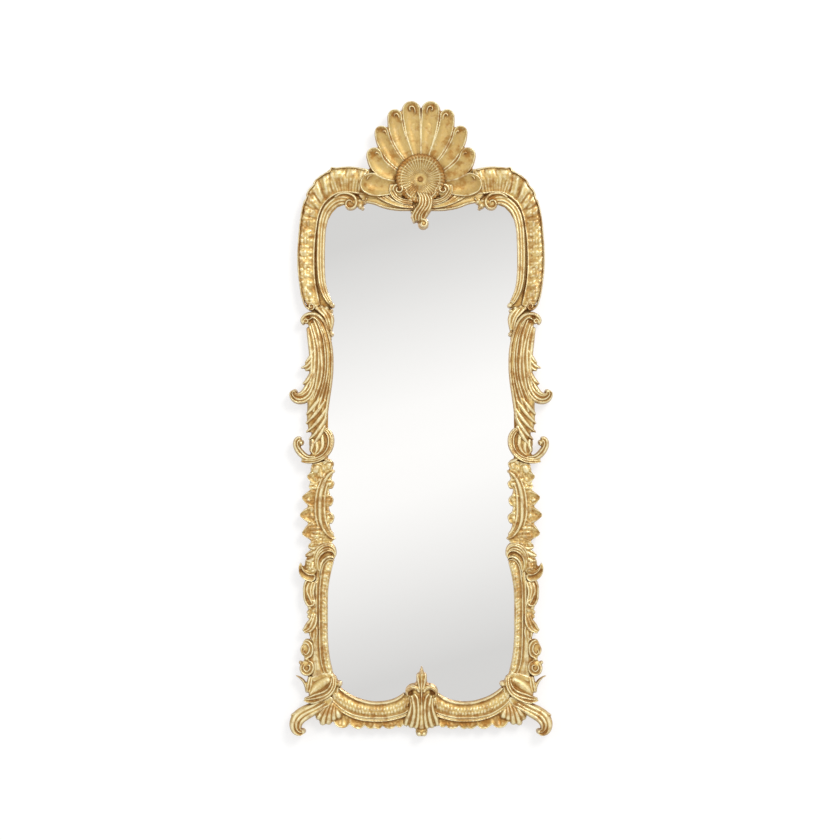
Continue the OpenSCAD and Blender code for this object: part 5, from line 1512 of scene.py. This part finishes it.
def makeScrews():
    # Brass screws with a raised, sunk head and a turned slot, each slot left at its own angle.
    look = screwLook
    around = look["around"]
    spots = []
    faces = []
    chance = np.random.default_rng(7)
    for low, high in looseParts(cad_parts["back_screws"].data):
        middle = (low + high) / 2
        radius = (high[0] - low[0]) / 2
        top = high[1] + look["raised"]
        turn = chance.uniform(0, math.pi)
        start = len(spots)
        rings = [(look["rings"][0][0], low[1])]
        rings += [(share, top - look["dome"] * depth) for share, depth in look["rings"]]
        for share, y in rings:
            for k in range(around):
                angle = 2 * math.pi * k / around
                inSlot = abs(math.sin(angle) * share * radius) < look["slotWidth"] / 2
                onHead = share < look["slotEnd"] and y >= top - look["dome"] * look["slotBelow"]
                sink = look["slotDepth"] if inSlot and onHead else 0
                spots.append((middle[0] + share * radius * math.cos(angle + turn), y - sink,
                              middle[2] + share * radius * math.sin(angle + turn)))
        for ring in range(len(rings) - 1):
            inner, outer = start + ring * around, start + (ring + 1) * around
            for k in range(around):
                after = (k + 1) % around
                faces.append((inner + k, outer + k, outer + after, inner + after))
        for ring in (0, len(rings) - 1):
            ids = [start + ring * around + k for k in range(around)]
            for k in range(1, around // 2):
                faces.append((ids[k - 1], ids[k], ids[around - 1 - k], ids[(around - k) % around]))
    piece = addPiece("slottedScrews", spots, faces)
    piece.data.materials.append(brass)
    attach(piece, "frame")
    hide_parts("back_screws")


makeBacking()
makeScrews()

cadFinishes = {
    "top_rail": carcassPine, "bottom_rail": carcassPine, "left_stile": carcassPine,
    "right_stile": carcassPine, "lap_dowels": beechDowel, "mirror_plate": mirrorGlass,
    "rebate_felt": blackFelt, "setting_blocks": leather, "glass_fillets": limeFillet, "wall_pads": rubber,
    "hanger_straps": brass, "left_hanger_ring": brass, "right_hanger_ring": brass}
for node, finish in cadFinishes.items():
    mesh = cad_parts[node].data
    mesh.materials.clear()
    mesh.materials.append(finish)
print("back and fittings finished")


# Camera, straight on from the front as in the photograph
view = {"distance": 7.7, "width": 2.52, "middle": (-0.003, 0.885), "sensor": 36.0, "carvedFace": -0.045,
        "farthest": 60}


def makeCamera():
    lens = bpy.data.cameras.new("frontCamera")
    lens.sensor_width = view["sensor"]
    lens.lens = view["sensor"] * (view["distance"] + view["carvedFace"]) / view["width"]
    lens.clip_end = view["farthest"]
    camera = bpy.data.objects.new("frontCamera", lens)
    camera.location = (view["middle"][0], -view["distance"], view["middle"][1])
    camera.rotation_euler = (math.pi / 2, 0, 0)
    bpy.context.collection.objects.link(camera)
    bpy.context.scene.camera = camera


lamps = {
    "key": {"at": (2.7, -6.2, 4.3), "size": 2.2, "watts": 225.0, "colour": "#FFFCF7"},
    "fill": {"at": (-3.2, -3.6, 1.6), "size": 3.0, "watts": 30.0, "colour": "#F6F8FF"},
    "back": {"at": (1.2, 3.6, 2.6), "size": 2.6, "watts": 60.0, "colour": "#FFFFFF"},
}
lampsAimAt = (0, 0, 0.9)


def makeLamps():
    target = mathutils.Vector(lampsAimAt)
    for name, look in lamps.items():
        light = bpy.data.lights.new(name + "Lamp", "AREA")
        light.size = look["size"]
        light.energy = look["watts"]
        light.color = linear(look["colour"])[:3]
        lamp = bpy.data.objects.new(name + "Lamp", light)
        lamp.location = look["at"]
        lamp.rotation_euler = (target - lamp.location).to_track_quat("-Z", "Y").to_euler()
        bpy.context.collection.objects.link(lamp)


worldLook = {"bright": "#FFFFFF", "dim": "#64625E", "towards": (0.42, -0.34, 0.84), "strength": 1.16,
             "dimmest": -0.6, "brightest": 0.9}      # how squarely a way faces the bright side, 1 being fully


def seenDirectly(tree):
    # 1 for a ray from the camera, or one that metal or glass turns, and 0 for scattered light.
    rays = addNode(tree, "LightPath").outputs
    turned = addNode(tree, "Math", {"operation": "MAXIMUM"},
                     {0: rays["Is Glossy Ray"], 1: rays["Is Transmission Ray"]}).outputs[0]
    return addNode(tree, "Math", {"operation": "MAXIMUM"}, {0: rays["Is Camera Ray"], 1: turned}).outputs[0]


def makeWorld():
    # Soft room light, brighter up and to the right; the camera, metal and glass see plain white.
    world = bpy.data.worlds.new("studio")
    bpy.context.scene.world = world
    world.use_nodes = True
    tree = world.node_tree
    tree.nodes.clear()
    ways = addNode(tree, "TexCoord").outputs["Generated"]
    towards = np.array(worldLook["towards"]) / np.linalg.norm(worldLook["towards"])
    facing = addNode(tree, "VectorMath", {"operation": "DOT_PRODUCT", 1: tuple(towards)},
                     {0: ways}).outputs["Value"]
    share = addNode(tree, "MapRange", {"From Min": worldLook["dimmest"], "From Max": worldLook["brightest"]},
                    {"Value": facing}).outputs["Result"]
    colour = addNode(tree, "ValToRGB", {}, {"Fac": share},
                     [(0.0, worldLook["dim"]), (1.0, worldLook["bright"])]).outputs["Color"]
    soft = addNode(tree, "Background", {"Strength": worldLook["strength"]}, {"Color": colour}).outputs[0]
    white = addNode(tree, "Background", {"Color": (1, 1, 1, 1), "Strength": room["white"]}).outputs[0]
    mixed = addNode(tree, "MixShader", {}, {0: seenDirectly(tree), 1: soft, 2: white}).outputs[0]
    addNode(tree, "OutputWorld", {}, {"Surface": mixed})


def stagePlane(name, corners, material):
    piece = addPiece(name, corners, [[0, 1, 2, 3]])
    piece.data.materials.append(material)
    return piece


def bareMaterial(name):
    material = bpy.data.materials.new(name)
    material.use_nodes = True
    material.node_tree.nodes.clear()
    return material, material.node_tree


def makePaper(name, glow):
    # White paper: part of its white is its own colour so that it stays white, the rest takes the shadow.
    # It is open from behind and lets the lamps through, so the other views see past it.
    material, tree = bareMaterial(name)
    paint = addNode(tree, "BsdfDiffuse", {"Color": (1, 1, 1, 1)}).outputs[0]
    white = addNode(tree, "Emission", {"Color": (1, 1, 1, 1), "Strength": room["white"]}).outputs[0]
    paper = addNode(tree, "MixShader", {0: glow}, {1: paint, 2: white}).outputs[0]
    clear = addNode(tree, "BsdfTransparent").outputs[0]
    behind = addNode(tree, "NewGeometry").outputs["Backfacing"]
    front = addNode(tree, "Math", {"operation": "SUBTRACT", 0: 1.0}, {1: behind}).outputs[0]
    shown = addNode(tree, "Math", {"operation": "MULTIPLY"}, {0: seenDirectly(tree), 1: front}).outputs[0]
    surface = addNode(tree, "MixShader", {}, {0: shown, 1: clear, 2: paper}).outputs[0]
    addNode(tree, "OutputMaterial", {}, {"Surface": surface})
    return material


room = {"wallBehind": 0.001, "floorBelow": -0.45, "floorFront": -3.6, "reach": 8.0, "glow": 0.62,
        "white": 1.06}


def makeRoom():
    reach = room["reach"]
    wall = room["wallBehind"]
    floor = room["floorBelow"]
    front = room["floorFront"]
    stagePlane("wallPaper", [(-reach, wall, floor), (reach, wall, floor), (reach, wall, reach),
                             (-reach, wall, reach)],
               makePaper("whiteWall", room["glow"]))
    stagePlane("floorPaper", [(-reach, front, floor), (reach, front, floor), (reach, wall, floor),
                              (-reach, wall, floor)],
               makePaper("paleFloor", room["glow"]))


# A glowing card seen only in reflections: a painted reflection of a pale room for the mirror, brightest at
# eye height.
paintedReflection = {"y": -9.0, "halfWidth": 0.9, "low": -1.2, "high": 2.7,
           "tones": [(0.0, "#FEFEFE"), (0.2, "#FCFCFC"), (0.4, "#F4F4F4"), (0.6, "#EBEBEB"),
                     (0.76, "#E2E2E2"), (0.9, "#DBDBDB"), (1.0, "#D5D5D5")],
           "brightZ": 0.70, "reachZ": 1.46, "lean": -0.3, "strength": 1.06}


def makePaintedReflection():
    look = paintedReflection
    material, tree = bareMaterial("paintedReflectionTone")
    place = addNode(tree, "SeparateXYZ", {}, {"Vector": addNode(tree, "TexCoord").outputs["Object"]})
    leaning = addNode(tree, "Math", {"operation": "MULTIPLY_ADD", 1: look["lean"]},
                      {0: place.outputs["X"], 2: place.outputs["Z"]}).outputs[0]
    away = addNode(tree, "Math", {"operation": "SUBTRACT", 1: look["brightZ"]}, {0: leaning}).outputs[0]
    away = addNode(tree, "Math", {"operation": "ABSOLUTE"}, {0: away}).outputs[0]
    share = addNode(tree, "Math", {"operation": "DIVIDE", 1: look["reachZ"]}, {0: away}).outputs[0]
    tone = addNode(tree, "ValToRGB", {}, {"Fac": share}, look["tones"]).outputs["Color"]
    # It glows, though it is no lamp, so that metal and glass show a painted reflection.
    glow = addNode(tree, "Emission", {"Strength": look["strength"]}, {"Color": tone}).outputs[0]
    addNode(tree, "OutputMaterial", {}, {"Surface": glow})
    width, low, high, y = look["halfWidth"], look["low"], look["high"], look["y"]
    card = stagePlane("paintedReflection", [(width, y, low), (-width, y, low), (-width, y, high), (width, y, high)],
                      material)
    card.visible_camera = False
    card.visible_diffuse = False
    card.visible_shadow = False


makeCamera()
makeLamps()
makeWorld()
makeRoom()
makePaintedReflection()
bpy.context.scene.view_settings.view_transform = "Standard"
print("stage set")
